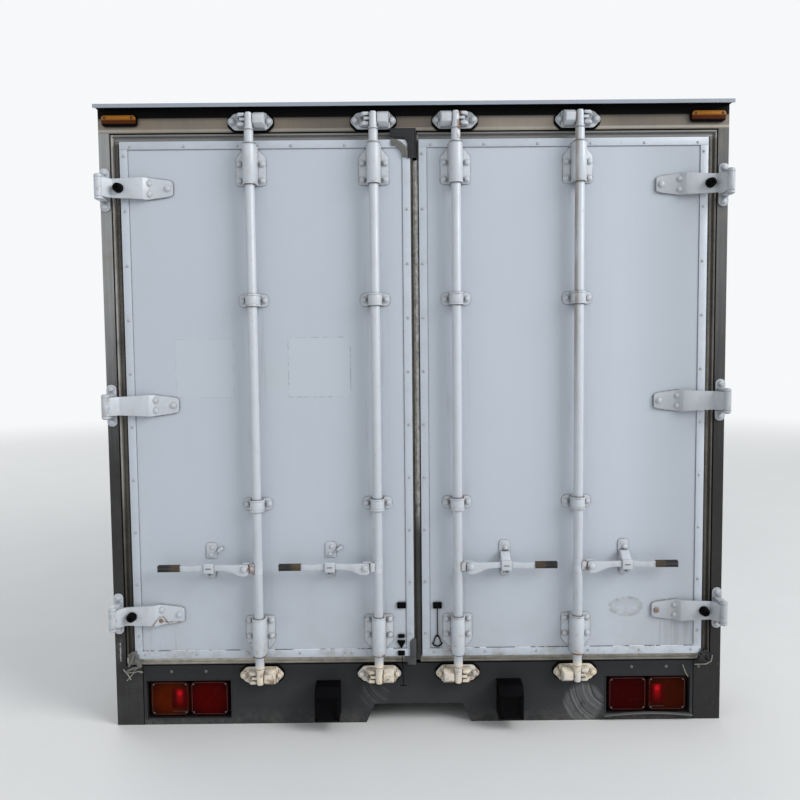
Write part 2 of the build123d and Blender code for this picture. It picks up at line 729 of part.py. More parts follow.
def rod_guides():
    """Long guides with tapered flanges at both ends of the rods, and short saddles between them."""
    guides = []
    for x in ROD_XS:
        for door_edge, way in [(DOOR_LOW, 1), (DOOR_HIGH, -1)]:
            edge = door_edge + way * TRIM_WIDTH
            narrow = edge + way * GUIDE_TAPER
            wide = narrow + way * GUIDE_LENGTH
            z0, z1 = sorted((door_edge + way * GUIDE_EDGE_GAP, wide))
            flange = [
                (x - GUIDE_RADIUS, edge), (x + GUIDE_RADIUS, edge), (x + GUIDE_WIDTH / 2, narrow),
                (x + GUIDE_WIDTH / 2, wide), (x - GUIDE_WIDTH / 2, wide), (x - GUIDE_WIDTH / 2, narrow),
            ]
            plate = plate_xz(flange, SKIN - GUIDE_FLANGE, SKIN)
            z2, z3 = sorted((door_edge, edge))
            over_trim = block(x - GUIDE_WIDTH, x + GUIDE_WIDTH, TRIM_FACE, SKIN + 1, z2, z3)
            guides.append(plate + guide_hat(x, z0, z1, GUIDE_RADIUS) - rod_channel(x, z0, z1) - over_trim)
        for level in SADDLE_LEVELS:
            z0 = level - SADDLE_LENGTH / 2
            z1 = level + SADDLE_LENGTH / 2
            plate = block(x - GUIDE_WIDTH / 2, x + GUIDE_WIDTH / 2, SKIN - GUIDE_FLANGE, SKIN, z0, z1)
            plate = cut_corners(plate, Axis.Y, SADDLE_CORNER)
            guides.append(plate + guide_hat(x, z0, z1, GUIDE_RADIUS) - rod_channel(x, z0, z1))
    return guides


def lock_rods():
    """Full-height rods, each with a collar, a forged end, a cam nose and a smaller lug at both ends."""
    rods = []
    guide_low = DOOR_LOW + GUIDE_EDGE_GAP
    guide_high = DOOR_HIGH - GUIDE_EDGE_GAP
    for x in ROD_XS:
        rod = rod_z(x, ROD_Y, guide_low, guide_high, ROD_RADIUS)
        for guide_end, keeper, way in ((guide_low, KEEPER_LOW, -1), (guide_high, KEEPER_HIGH, 1)):
            end_from = keeper - way * ROD_END_START
            z0, z1 = sorted((guide_end, end_from))
            rod += prism_z(x, ROD_Y, z0, z1, COLLAR_RADIUS)
            z2, z3 = sorted((end_from, keeper + way * ROD_END_REACH))
            rod += prism_z(x, ROD_Y, z2, z3, ROD_END_RADIUS)
            low = keeper - CAM_HEIGHT / 2
            high = keeper + CAM_HEIGHT / 2
            nose = block(x - CAM_REACH, x, ROD_Y, ROD_Y + CAM_THICKNESS, low, high)
            rod += chamfer(nose.edges().filter_by(Axis.Z).sort_by(Axis.X)[:2], CAM_CORNER)
            rod += block(
                x, x + LUG_REACH, ROD_Y, ROD_Y + CAM_THICKNESS,
                keeper - LUG_HEIGHT / 2, keeper + LUG_HEIGHT / 2,
            )
        rods.append(rod)
    return rods


def keeper_pads():
    """Rubber pads between the keepers and the frame."""
    pads = []
    for x in ROD_XS:
        for level in (KEEPER_LOW, KEEPER_HIGH):
            pads.append(keeper_plate(x, level, 0, PAD_THICKNESS))
    return both_sides(pads)


def keeper_plate(x, level, near, far):
    """A plate with pointed ends that lies between two distances from the face of the frame."""
    half = KEEPER_WIDTH / 2
    high = KEEPER_HEIGHT / 2
    point = KEEPER_POINT_HEIGHT / 2
    flat = half - KEEPER_CORNER
    outline = [
        (x - half, level - point), (x - flat, level - high),
        (x + flat, level - high), (x + half, level - point),
        (x + half, level + point), (x + flat, level + high),
        (x - flat, level + high), (x - half, level + point),
    ]
    return plate_xz(outline, REAR - far, REAR - near)


def rod_keepers():
    """Castings that the cams lock into: a slotted block beside a pair of ribs."""
    keepers = []
    back = REAR - PAD_THICKNESS - KEEPER_PLATE
    gap = ROD_END_RADIUS + CAM_CLEARANCE
    high = KEEPER_BLOCK_HEIGHT / 2
    slot_high = CAM_HEIGHT / 2 + CAM_CLEARANCE
    for x in ROD_XS:
        for level in (KEEPER_LOW, KEEPER_HIGH):
            keeper = keeper_plate(x, level, PAD_THICKNESS, PAD_THICKNESS + KEEPER_PLATE)
            block_x = x - KEEPER_BLOCK_REACH
            slotted = block(block_x, x - gap, REAR - KEEPER_BLOCK_FRONT, back, level - high, level + high)
            slotted = chamfer(slotted.faces().sort_by(Axis.Y)[0].edges(), KEEPER_CHAMFER)
            slotted -= block(
                x - CAM_REACH - CAM_CLEARANCE, x - gap + 1, ROD_Y - CAM_CLEARANCE, back + 1,
                level - slot_high, level + slot_high,
            )
            keeper += slotted
            for side in (-1, 1):
                middle = level + side * KEEPER_RIB_PITCH / 2
                keeper += block(
                    x + gap, x + KEEPER_RIB_REACH, REAR - KEEPER_RIB_FRONT, back,
                    middle - KEEPER_RIB_THICKNESS / 2, middle + KEEPER_RIB_THICKNESS / 2,
                )
            keepers.append(keeper)
    return both_sides(keepers)


# Handles


def lock_handles():
    """A clamp on the rod with a lug, and the flat handle pivoted on it."""
    handles = []
    root_low = HANDLE_TOP - HANDLE_ROOT_HEIGHT
    grip_z = (HANDLE_ARM_LOW + HANDLE_TOP) / 2
    for x in ROD_XS:
        pivot = x + HANDLE_PIVOT
        end = x + HANDLE_LENGTH
        hub = prism_z(x, ROD_Y, HANDLE_Z - HUB_HEIGHT / 2, HANDLE_Z + HUB_HEIGHT / 2, GUIDE_BORE + HUB_WALL)
        hub += block(
            x, pivot + HANDLE_EAR, HANDLE_BACK, HANDLE_BACK + HUB_LUG_THICKNESS,
            HANDLE_Z - HUB_LUG_HEIGHT / 2, HANDLE_Z + HUB_LUG_HEIGHT / 2,
        )
        hub -= prism_z(x, ROD_Y, HANDLE_Z - HUB_HEIGHT, HANDLE_Z + HUB_HEIGHT, GUIDE_BORE)
        outline = [
            (pivot - HANDLE_EAR, root_low + HANDLE_CORNER), (pivot - HANDLE_CORNER, root_low),
            (pivot + HANDLE_EAR, root_low), (pivot + HANDLE_EAR + HANDLE_TAPER, HANDLE_ARM_LOW),
            (end - GRIP_LENGTH + 1, HANDLE_ARM_LOW), (end - GRIP_LENGTH + 1, HANDLE_TOP),
            (pivot - HANDLE_CORNER, HANDLE_TOP), (pivot - HANDLE_EAR, HANDLE_TOP - HANDLE_CORNER),
        ]
        arm = plate_xz(outline, HANDLE_FRONT, HANDLE_BACK)
        grip = block(
            end - GRIP_LENGTH, end, HANDLE_FRONT - GRIP_SLEEVE, HANDLE_BACK + GRIP_SLEEVE,
            grip_z - GRIP_HEIGHT / 2, grip_z + GRIP_HEIGHT / 2,
        )
        handles.append(hub + arm + cut_corners(grip, Axis.X, GRIP_CHAMFER))
    return handles


def handle_catches():
    """Plates on the skin with a cradle under the handle and a hasp above it."""
    catches = []
    low = HANDLE_ARM_LOW - CATCH_DROP
    shelf = HANDLE_ARM_LOW - CATCH_GAP
    front = HANDLE_FRONT - CATCH_GAP
    for x in ROD_XS:
        x0 = x + CATCH_OFFSET - CATCH_WIDTH / 2
        x1 = x + CATCH_OFFSET + CATCH_WIDTH / 2
        plate = block(x0, x1, SKIN - CATCH_PLATE, SKIN, low, low + CATCH_HEIGHT)
        catch = cut_corners(plate, Axis.Y, CATCH_CORNER)
        catch += block(x0, x1, front - CATCH_LIP, SKIN, shelf - CATCH_SHELF, shelf)
        catch += block(x0, x1, front - CATCH_LIP, front, shelf, shelf + CATCH_SHELF)
        hasp_low = HANDLE_TOP + CATCH_GAP
        hasp_high = hasp_low + HASP_THICKNESS
        catch += block(x0 + HASP_INSET, x1 - HASP_INSET, HANDLE_BACK, SKIN, hasp_low, hasp_high)
        catches.append(catch)
    return catches


# Cooling unit


def unit_outline(inset):
    """The cover from the side, sloped at its top front edge, drawn inside the outer skin by the inset."""
    return [
        (FRONT_OUT, UNIT_BOTTOM + inset), (UNIT_FRONT - inset, UNIT_BOTTOM + inset),
        (UNIT_FRONT - inset, UNIT_TOP - UNIT_SLOPE_HEIGHT),
        (UNIT_FRONT - UNIT_SLOPE_DEPTH - inset / 2, UNIT_TOP - inset), (FRONT_OUT, UNIT_TOP - inset),
    ]


def unit_cover():
    """Moulded cover with two fan openings and side louvres."""
    half = UNIT_WIDTH / 2
    cover = plate_yz(unit_outline(0), -half, half)
    cover = fillet(cover.edges().filter_by(Axis.Z).sort_by(Axis.Y)[-2:], UNIT_CORNER)
    cover -= plate_yz(unit_outline(UNIT_WALL), -half + UNIT_WALL, half - UNIT_WALL)
    louvre_y = FRONT_OUT + LOUVRE_INSET
    for side in (-1, 1):
        cover -= rod_y(side * FAN_OFFSET, FAN_Z, UNIT_FRONT - UNIT_CORNER, UNIT_FRONT + 1, FAN_OPENING_RADIUS)
        x0, x1 = sorted((side * (half - UNIT_WALL - 1), side * (half + 1)))
        for row in range(LOUVRE_COUNT):
            z = UNIT_BOTTOM + LOUVRE_RISE + row * LOUVRE_PITCH
            cover -= block(x0, x1, louvre_y, louvre_y + LOUVRE_LENGTH, z, z + LOUVRE_HEIGHT)
    return cover


def fan_guards():
    """Hoops on radial wires across the fan openings, faceted to stay light."""
    guards = []
    y0 = UNIT_FRONT - UNIT_WALL / 2 - GUARD_WIRE / 2
    y1 = y0 + GUARD_WIRE
    half_wire = GUARD_WIRE / 2
    for side in (-1, 1):
        x = side * FAN_OFFSET
        guard = prism_y(x, FAN_Z, y0, y1, GUARD_HUB_RADIUS, GUARD_SIDES)
        for i in range(GUARD_RINGS):
            radius = GUARD_HUB_RADIUS + (FAN_OPENING_RADIUS - GUARD_HUB_RADIUS) * (i + 1) / GUARD_RINGS
            guard += prism_y(x, FAN_Z, y0, y1, radius, GUARD_SIDES) - prism_y(
                x, FAN_Z, y0 - 1, y1 + 1, radius - 2 * GUARD_WIRE, GUARD_SIDES
            )
        for i in range(GUARD_SPOKES):
            spoke = block(0, FAN_OPENING_RADIUS - GUARD_WIRE, y0, y1, -half_wire, half_wire)
            guard += Pos(x, 0, FAN_Z) * Rot(0, 360 * i / GUARD_SPOKES, 0) * spoke
        guards.append(guard)
    return guards


def unit_frame():
    """Back plate on the front wall with the two fan motors and their shafts."""
    half = UNIT_WIDTH / 2 - UNIT_WALL
    back = FRONT_OUT + UNIT_BACK
    motor_front = FAN_BACK - MOTOR_GAP
    frame = block(-half, half, FRONT_OUT, back, UNIT_BOTTOM + UNIT_WALL, UNIT_TOP - UNIT_WALL)
    for side in (-1, 1):
        x = side * FAN_OFFSET
        frame += prism_y(x, FAN_Z, back, motor_front, MOTOR_RADIUS, ROUND_SIDES)
        frame += rod_y(x, FAN_Z, motor_front - 1, FAN_FRONT - HUB_NOSE - 2, SHAFT_RADIUS)
    return frame


def condenser_coil():
    """Finned block across the unit, open round the motors."""
    half = UNIT_WIDTH / 2 - UNIT_WALL - COIL_MARGIN
    y0 = FRONT_OUT + UNIT_BACK
    y1 = y0 + COIL_DEPTH
    low = UNIT_BOTTOM + UNIT_WALL + COIL_MARGIN
    high = UNIT_TOP - UNIT_WALL - COIL_MARGIN
    coil = block(-half, half, y0, y1, low, high)
    for side in (-1, 1):
        coil -= prism_y(side * FAN_OFFSET, FAN_Z, y0 - 1, y1 + 1, COIL_OPENING_RADIUS, ROUND_SIDES)
    return coil


def fan(side):
    """A hub with twisted blades, bored for the motor shaft."""
    x = side * FAN_OFFSET
    middle = (FAN_BACK + FAN_FRONT) / 2
    length = FAN_RADIUS - HUB_RADIUS
    rotor = prism_y(x, FAN_Z, FAN_BACK, FAN_FRONT, HUB_RADIUS, ROUND_SIDES)
    for i in range(FAN_BLADES):
        blade = Rot(BLADE_ANGLE, 0, 0) * Box(length, BLADE_THICKNESS, BLADE_WIDTH)
        blade = Pos(HUB_RADIUS - BLADE_ROOT + length / 2, 0, 0) * blade
        rotor += Pos(x, middle, FAN_Z) * Rot(0, 360 * i / FAN_BLADES, 0) * blade
    return rotor - rod_y(x, FAN_Z, FAN_BACK - 1, FAN_FRONT - HUB_NOSE, SHAFT_RADIUS + SHAFT_CLEARANCE)


def evaporator():
    """Casing under the ceiling at the front of the load space, with round outlets towards the doors."""
    half = EVAPORATOR_WIDTH / 2
    front = FRONT_IN - EVAPORATOR_DEPTH
    top = ROOF_BOTTOM
    low = top - EVAPORATOR_HEIGHT
    outline = [
        (FRONT_IN, low + EVAPORATOR_SLOPE), (front + EVAPORATOR_SLOPE, low), (front, low + EVAPORATOR_LIP),
        (front, top), (FRONT_IN, top),
    ]
    casing = plate_yz(outline, -half, half)
    outlet_z = (low + EVAPORATOR_LIP + top) / 2
    for i in range(EVAPORATOR_FANS):
        x = EVAPORATOR_WIDTH * ((i + 0.5) / EVAPORATOR_FANS - 0.5)
        back = front + OUTLET_DEPTH
        outlet = prism_y(x, outlet_z, front - 1, back, OUTLET_RADIUS, ROUND_SIDES)
        casing -= outlet - prism_y(x, outlet_z, front - 2, back + 1, OUTLET_HUB_RADIUS, ROUND_SIDES)
    return casing


def corner_flap():
    """Rubber flap over the top corner where the leaves meet, on the leaf that closes last."""
    high = DOOR_HIGH + FLAP_RISE
    x0 = DOOR_IN - MIDDLE_LIP
    outline = [
        (x0, high), (x0 + FLAP_REACH, high), (x0 + FLAP_REACH, high - FLAP_WIDTH),
        (x0 + FLAP_WIDTH, high - FLAP_WIDTH),
        (x0 + FLAP_WIDTH, DOOR_HIGH - FLAP_DROP), (x0, DOOR_HIGH - FLAP_DROP),
    ]
    return plate_xz(outline, TRIM_FACE - FLAP_THICKNESS, TRIM_FACE)


save("floor_panel", [floor_panel()])
save("side_wall_right", [side_wall()])
save("side_wall_left", [mirrored(side_wall())])
save("front_wall", [front_wall()])
save("roof_panel", [roof_panel()])
save("edge_rails", edge_rails())
save("cargo_rails", cargo_rails())
save("sills", sills())
save("cross_members", cross_members())
save("rear_posts", rear_posts())
save("rear_header", [rear_header()])
save("rear_sill", [rear_sill()])
save("roof_visor", [roof_visor()])
save("lamp_boxes", lamp_boxes())
save("red_lenses", red_lenses())
save("amber_lamps", amber_lamps())
save("dock_bumpers", dock_bumpers())
save("hinge_brackets", hinge_brackets())
save("keeper_pads", keeper_pads())
save("rod_keepers", rod_keepers())
save("unit_frame", [unit_frame()])
save("unit_cover", [unit_cover()])
save("fan_guards", fan_guards())
save("condenser_coil", [condenser_coil()])
save("evaporator", [evaporator()])
save("fan_right", [fan(1)])
save("fan_left", [fan(-1)])

DOOR_PIECES = {
    "door_panel": [door_panel()],
    "door_trim": [door_trim()],
    "door_seal": [door_seal()],
    "hinge_straps": hinge_straps(),
    "door_stops": door_stops(),
    "rod_guides": rod_guides(),
    "lock_rods": lock_rods(),
    "lock_handles": lock_handles(),
    "handle_catches": handle_catches(),
}
for piece, shapes in DOOR_PIECES.items():
    save(f"{piece}_right", shapes)
    if piece == "door_seal":
        shapes = shapes + [corner_flap()]
    save(f"{piece}_left", [mirrored(shape) for shape in shapes])
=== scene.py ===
"""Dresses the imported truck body: camera and stage, a finish for every node, and the modelled door gear,
seals, lamps and cooling unit parts that stand in for the plain solids."""

import json
import math

import bmesh
import bpy
from mathutils import Euler, Matrix, Vector


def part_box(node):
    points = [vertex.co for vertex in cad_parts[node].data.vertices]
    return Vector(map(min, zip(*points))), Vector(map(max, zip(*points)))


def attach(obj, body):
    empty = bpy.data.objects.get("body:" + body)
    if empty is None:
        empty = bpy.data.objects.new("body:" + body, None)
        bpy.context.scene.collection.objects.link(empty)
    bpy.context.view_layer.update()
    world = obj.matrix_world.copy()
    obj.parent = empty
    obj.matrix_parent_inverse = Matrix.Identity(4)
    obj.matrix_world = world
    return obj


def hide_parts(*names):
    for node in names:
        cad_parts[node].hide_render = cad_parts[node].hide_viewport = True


bl_info = {
    "name": "Refrigerated Truck Body",
    "version": (1, 0, 0),
    "blender": (4, 5, 0),
    "location": "3D View > Sidebar > Truck Body",
    "description": "Builds the finishes and the door gear of an insulated truck body round its CAD frame",
    "category": "Object",
}

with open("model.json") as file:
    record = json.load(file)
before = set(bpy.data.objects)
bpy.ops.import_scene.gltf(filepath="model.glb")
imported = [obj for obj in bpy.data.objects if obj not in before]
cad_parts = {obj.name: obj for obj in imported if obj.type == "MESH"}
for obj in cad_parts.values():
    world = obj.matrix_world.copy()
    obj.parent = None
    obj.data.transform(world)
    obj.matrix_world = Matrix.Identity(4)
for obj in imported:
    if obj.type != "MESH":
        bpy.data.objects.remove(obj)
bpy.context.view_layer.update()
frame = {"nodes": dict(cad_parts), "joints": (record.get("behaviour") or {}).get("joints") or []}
NODES = frame["nodes"]
JOINTS = {joint["name"]: joint for joint in frame["joints"]}

# Lengths are in metres, in the CAD frame: the doors face -Y and z = 0 is the ground.
# Like pieces are modelled at x > 0 and mirrored in the plane x = 0.
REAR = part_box("rear_header")[0][1]
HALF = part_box("rear_header")[1][0]
LEAF_LOW, LEAF_HIGH = map(Vector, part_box("door_panel_right"))
SKIN = LEAF_LOW.y
TRIM_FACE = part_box("door_trim_right")[0][1]
TRIM_WIDTH = 0.028
SEAL_LOW, SEAL_HIGH = map(Vector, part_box("door_seal_right"))
SEAL_LIP = SEAL_HIGH.x - LEAF_HIGH.x
SEAL_FOOT = SEAL_HIGH.z - LEAF_HIGH.z
ROOF_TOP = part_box("roof_panel")[1][2]
VISOR_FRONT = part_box("roof_visor")[0][1]
FLOOR_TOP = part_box("floor_panel")[1][2]
HEADER_LOW = SEAL_HIGH.z + 0.003

# Hinges
PIN_X, PIN_Y, PIN_Z = JOINTS["door_right_hinge"]["pos_m"]
HINGE_LEVELS = (LEAF_LOW.z + 0.167, PIN_Z, LEAF_HIGH.z - 0.166)
STOP_LEVELS = (HINGE_LEVELS[0], HINGE_LEVELS[2])
KNUCKLE = 0.014
STRAP_HALF = 0.033
STRAP_THICKNESS = 0.009
STRAP_FRONT = SKIN - 0.016 - STRAP_THICKNESS
STRAP_TIP = PIN_X - 0.247

# Lock rods, guides, keepers, handles and catches
ROD_XS = (LEAF_LOW.x + 0.130, LEAF_HIGH.x - 0.466)
ROD_Y = SKIN - 0.038
ROD_RADIUS = 0.017
ROD_END = 0.0125
COLLAR = 0.0160
GUIDE_RADIUS = 0.0238
GUIDE_HALF_WIDTH = 0.0525
SADDLE_LEVELS = (LEAF_LOW.z + 0.575, LEAF_HIGH.z - 0.565)
KEEPER_LEVELS = (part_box("rod_keepers")[0][2] + 0.029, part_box("rod_keepers")[1][2] - 0.029)
HANDLE_Z = LEAF_LOW.z + 0.347
HANDLE_LENGTH = ROD_XS[1] - ROD_XS[0] - 0.077
HANDLE_BACK = SKIN - 0.046
HANDLE_FRONT = HANDLE_BACK - 0.012
GUIDE_START = 0.020
GUIDE_END = TRIM_WIDTH + 0.130
GUIDE_PLATE = 0.005
GUIDE_SHEET = 0.0055
CATCH_OFFSET = 0.174
CATCH_HALF = 0.0195
CATCH_PLATE = 0.004

FAN_X = JOINTS["fan_right_spin"]["pos_m"][0]
FAN_Z = JOINTS["fan_right_spin"]["pos_m"][2]
UNIT_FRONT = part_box("unit_cover")[1][1]

# Corner flap, lamps and skirt
FLAP_EDGE = 0.0055
LENS_WIDTH = 0.144
LENS_GAP = 0.004
LAMP_WINDOW = 0.318
MARKER_WIDTH = 0.124
MARKER_HEIGHT = 0.036
# Bottom of the black strip under the visor, a black seal with painted shade.
SEAL_AND_SHADE_LOW = 2.220
SKIRT_JOINT = 1.025
SKIRT_SCREWS = (-1.033, -0.919, -0.791, 0.794, 0.923, 1.044)
SKIRT_SCREW_LEVEL = 0.202

# Strips of the torn seals at the outer feet of the leaves: thickness, distance before the frame, and a path
# of (distance inwards, height) from the seal's outer corner
SHREDS = {
    "right": (
        (0.0055, 0.0220, ((0.014, -0.002), (0.032, 0.014), (0.048, 0.034))),
        (0.0065, 0.0200, ((0.004, 0.006), (0.014, 0.022), (0.024, 0.044))),
    ),
    "left": (
        (0.0080, 0.0225, ((0.010, 0.006), (0.022, 0.026), (0.030, 0.050))),
        (0.0075, 0.0200, ((0.006, -0.010), (0.024, -0.002), (0.050, 0.004))),
    ),
}
WIRES = {
    "right": (
        (0.0028, 0.0070, ((-0.007, 0.018), (-0.004, -0.003), (0.014, -0.014), (0.058, -0.015))),
        (0.0020, 0.0080, ((0.080, -0.062), (0.090, -0.046), (0.094, -0.034), (0.101, -0.016))),
    ),
    "left": (
        (0.0026, 0.0070, (
            (-0.011, -0.011), (0.004, -0.025), (0.025, -0.022), (0.043, -0.004), (0.0615, 0.018),
        )),
        (0.0026, 0.0095, (
            (0.000, -0.054), (0.011, -0.043), (0.025, -0.025), (0.043, -0.018), (0.0615, -0.022),
        )),
        (0.0024, 0.0120, ((-0.007, -0.014), (0.007, -0.029), (0.018, -0.050))),
    ),
}

# Crumpled sheets under the shreds: two corners of (distance inwards, height), distance before the frame, seed
CRUMPLES = {
    "right": (((0.006, 0.008), (0.026, 0.036), 0.0180, 5), ((0.026, 0.004), (0.046, 0.050), 0.0200, 11)),
    "left": (((0.016, 0.012), (0.034, 0.052), 0.0180, 3), ((0.034, -0.002), (0.054, 0.060), 0.0200, 8)),
}

# Worn places on the rear: points (x, z), rectangles between two of them, and the height where the rust starts
FILMS = (((-0.870, 1.222), (-0.658, 1.436)), ((-0.463, 1.221), (-0.236, 1.439)))
FILM_GHOST = (-0.514, 1.303)
SMEAR = (0.768, 0.436)
DOOR_SCRATCH = ((0.683, 1.50), (0.700, 1.86))
RUSTED_BOLT = (-0.944, 0.4045)
RUST_START = 0.4230
RUSTED_TIP = ((-0.935, 0.3960), (-0.858, 0.4010))
RUSTED_TIP_BOLT = (0.878, 0.4250)
RUSTED_ROD = ((0.148, 2.125), (0.166, 2.236))
POST_SCUFF = ((-1.124, 0.238), (-1.098, 0.330))
POST_SCRATCH = ((-1.1085, 0.243), (-1.1045, 0.314))
CHALK = (0.615, 0.068)
FAINT_CHALK = (-0.165, 0.110)

# Brightest places in the lamps, where a glow is painted: their height and distances from the middle, and the
# reflectors' spot (x, z)
LENS_MIDDLE = 0.096
RED_LENS_X = 0.782
AMBER_LENS_X = 0.930
REFLECTOR_SPOT = (0.893, 0.116)

ORIGIN = (0, 0, 0)
AXES = {"x": Vector((1, 0, 0)), "y": Vector((0, 1, 0)), "z": Vector((0, 0, 1))}
FACING = {"x": (0, math.pi / 2, 0), "y": (math.pi / 2, 0, 0), "z": (0, 0, 0)}

# The photograph's camera: lens and place from the fit of the door frame's corners
IMAGE_WIDTH = 800
FOCAL_PIXELS = 801
SENSOR = 36.0
CAMERA_DISTANCE = 2.912
CAMERA_X = -0.0686
CAMERA_Z = 1.3985
CAMERA_PITCH = 0.0656
CAMERA_YAW = 0.0032
CAMERA_ROLL = -0.0096
BACKDROP = (0.93, 0.94, 0.95)

# Rays that see the plain backdrop in place of the sky
SHOWING_RAYS = ("Is Camera Ray", "Is Glossy Ray", "Is Transmission Ray")

# Lamps of the stage: place, the point they are turned to, size and power
LAMPS = {
    "key_light": ((7.8, REAR - 4.6, 6.2), (0, REAR, 1.1), 6.0, 820),
    "left_light": ((-6.5, REAR - 5.5, 3.5), (0, REAR, 1.1), 5.0, 60),
    "fill_light": ((-5.0, 3.0, 7.0), (0, 0, 1.0), 7.0, 230),
    "front_light": ((2.0, 9.0, 5.0), (0, 3.0, 1.2), 5.0, 150),
}


def colour_setting(name, description, default):
    """A colour of the finish that the panel offers."""
    return bpy.props.FloatVectorProperty(
        name=name, description=description, subtype="COLOR", size=3, default=default, min=0, max=1
    )


def length_setting(name, description, default, least):
    """A length of the fittings that the panel offers."""
    return bpy.props.FloatProperty(
        name=name, description=description, subtype="DISTANCE", unit="LENGTH", default=default, min=least
    )


class BodyFinish(bpy.types.PropertyGroup):
    """Colours of the body and how worn it is."""

    door_paint: colour_setting("Door Paint", "White paint of the door leaves", (0.462, 0.502, 0.558))
    hardware_paint: colour_setting(
        "Hardware Paint", "White paint of rods, hinges and keepers", (0.490, 0.522, 0.562)
    )
    wall_paint: colour_setting(
        "Wall Paint", "White of the side, front and roof panels", (0.490, 0.512, 0.535)
    )
    steel: colour_setting("Stainless Steel", "Bare steel of the rear frame", (0.140, 0.122, 0.100))
    skirt_paint: colour_setting(
        "Skirt Paint", "Dark paint of the skirt under the doors", (0.030, 0.031, 0.033)
    )
    rust: colour_setting("Rust", "Colour of the rust where paint is lost", (0.230, 0.095, 0.030))
    dust: colour_setting("Dust", "Colour of the dried dirt", (0.260, 0.245, 0.215))
    wear: bpy.props.FloatProperty(
        name="Wear", description="How much rust and lost paint the hardware shows", subtype="FACTOR",
        default=1.0, min=0, max=2,
    )


class BodyFittings(bpy.types.PropertyGroup):
    """Sizes of the small fittings."""

    bolt_radius: length_setting(
        "Bolt Radius", "Head radius of the bolts in hinges, guides and keepers", 0.0088, 0.002
    )
    screw_radius: length_setting("Screw Radius", "Head radius of the screws round each leaf", 0.0052, 0.001)
    screw_pitch: length_setting("Screw Pitch", "Distance between the screws round each leaf", 0.188, 0.05)
    rivet_pitch: length_setting("Rivet Pitch", "Distance between the rivets in the edge rails", 0.150, 0.05)
    guard_wire: length_setting("Guard Wire", "Radius of the wire of the fan guards", 0.0025, 0.001)


# Shader maths


class Wire:
    """A value or colour inside a finish; arithmetic on it adds the nodes that work it out."""

    def __init__(self, paint, socket):
        self.paint = paint
        self.socket = socket

    def maths(self, operation, *values):
        return self.paint.node("ShaderNodeMath", {"operation": operation}, values)

    def __add__(self, other):
        return self.maths("ADD", self, other)

    def __radd__(self, other):
        return self.maths("ADD", other, self)

    def __sub__(self, other):
        return self.maths("SUBTRACT", self, other)

    def __rsub__(self, other):
        return self.maths("SUBTRACT", other, self)

    def __mul__(self, other):
        return self.maths("MULTIPLY", self, other)

    def __rmul__(self, other):
        return self.maths("MULTIPLY", other, self)

    def __truediv__(self, other):
        return self.maths("DIVIDE", self, other)

    def __rtruediv__(self, other):
        return self.maths("DIVIDE", other, self)

    def size(self):
        return self.maths("ABSOLUTE", self)

    def sine(self):
        return self.maths("SINE", self)

    def root(self):
        return self.maths("SQRT", self)

    def most(self, other):
        return self.maths("MAXIMUM", self, other)

    def least(self, other):
        return self.maths("MINIMUM", self, other)

    def ramp(self, low, high):
        """0 below low, 1 above high and smooth between; low may be above high, for the reverse."""
        if low > high:
            return 1 - self.ramp(high, low)
        settings = {"interpolation_type": "SMOOTHSTEP"}
        return self.paint.node("ShaderNodeMapRange", settings, (self, low, high, 0, 1))


def rgba(colour):
    """A colour as a node's socket takes it."""
    return colour if isinstance(colour, Wire) else (*colour, 1)


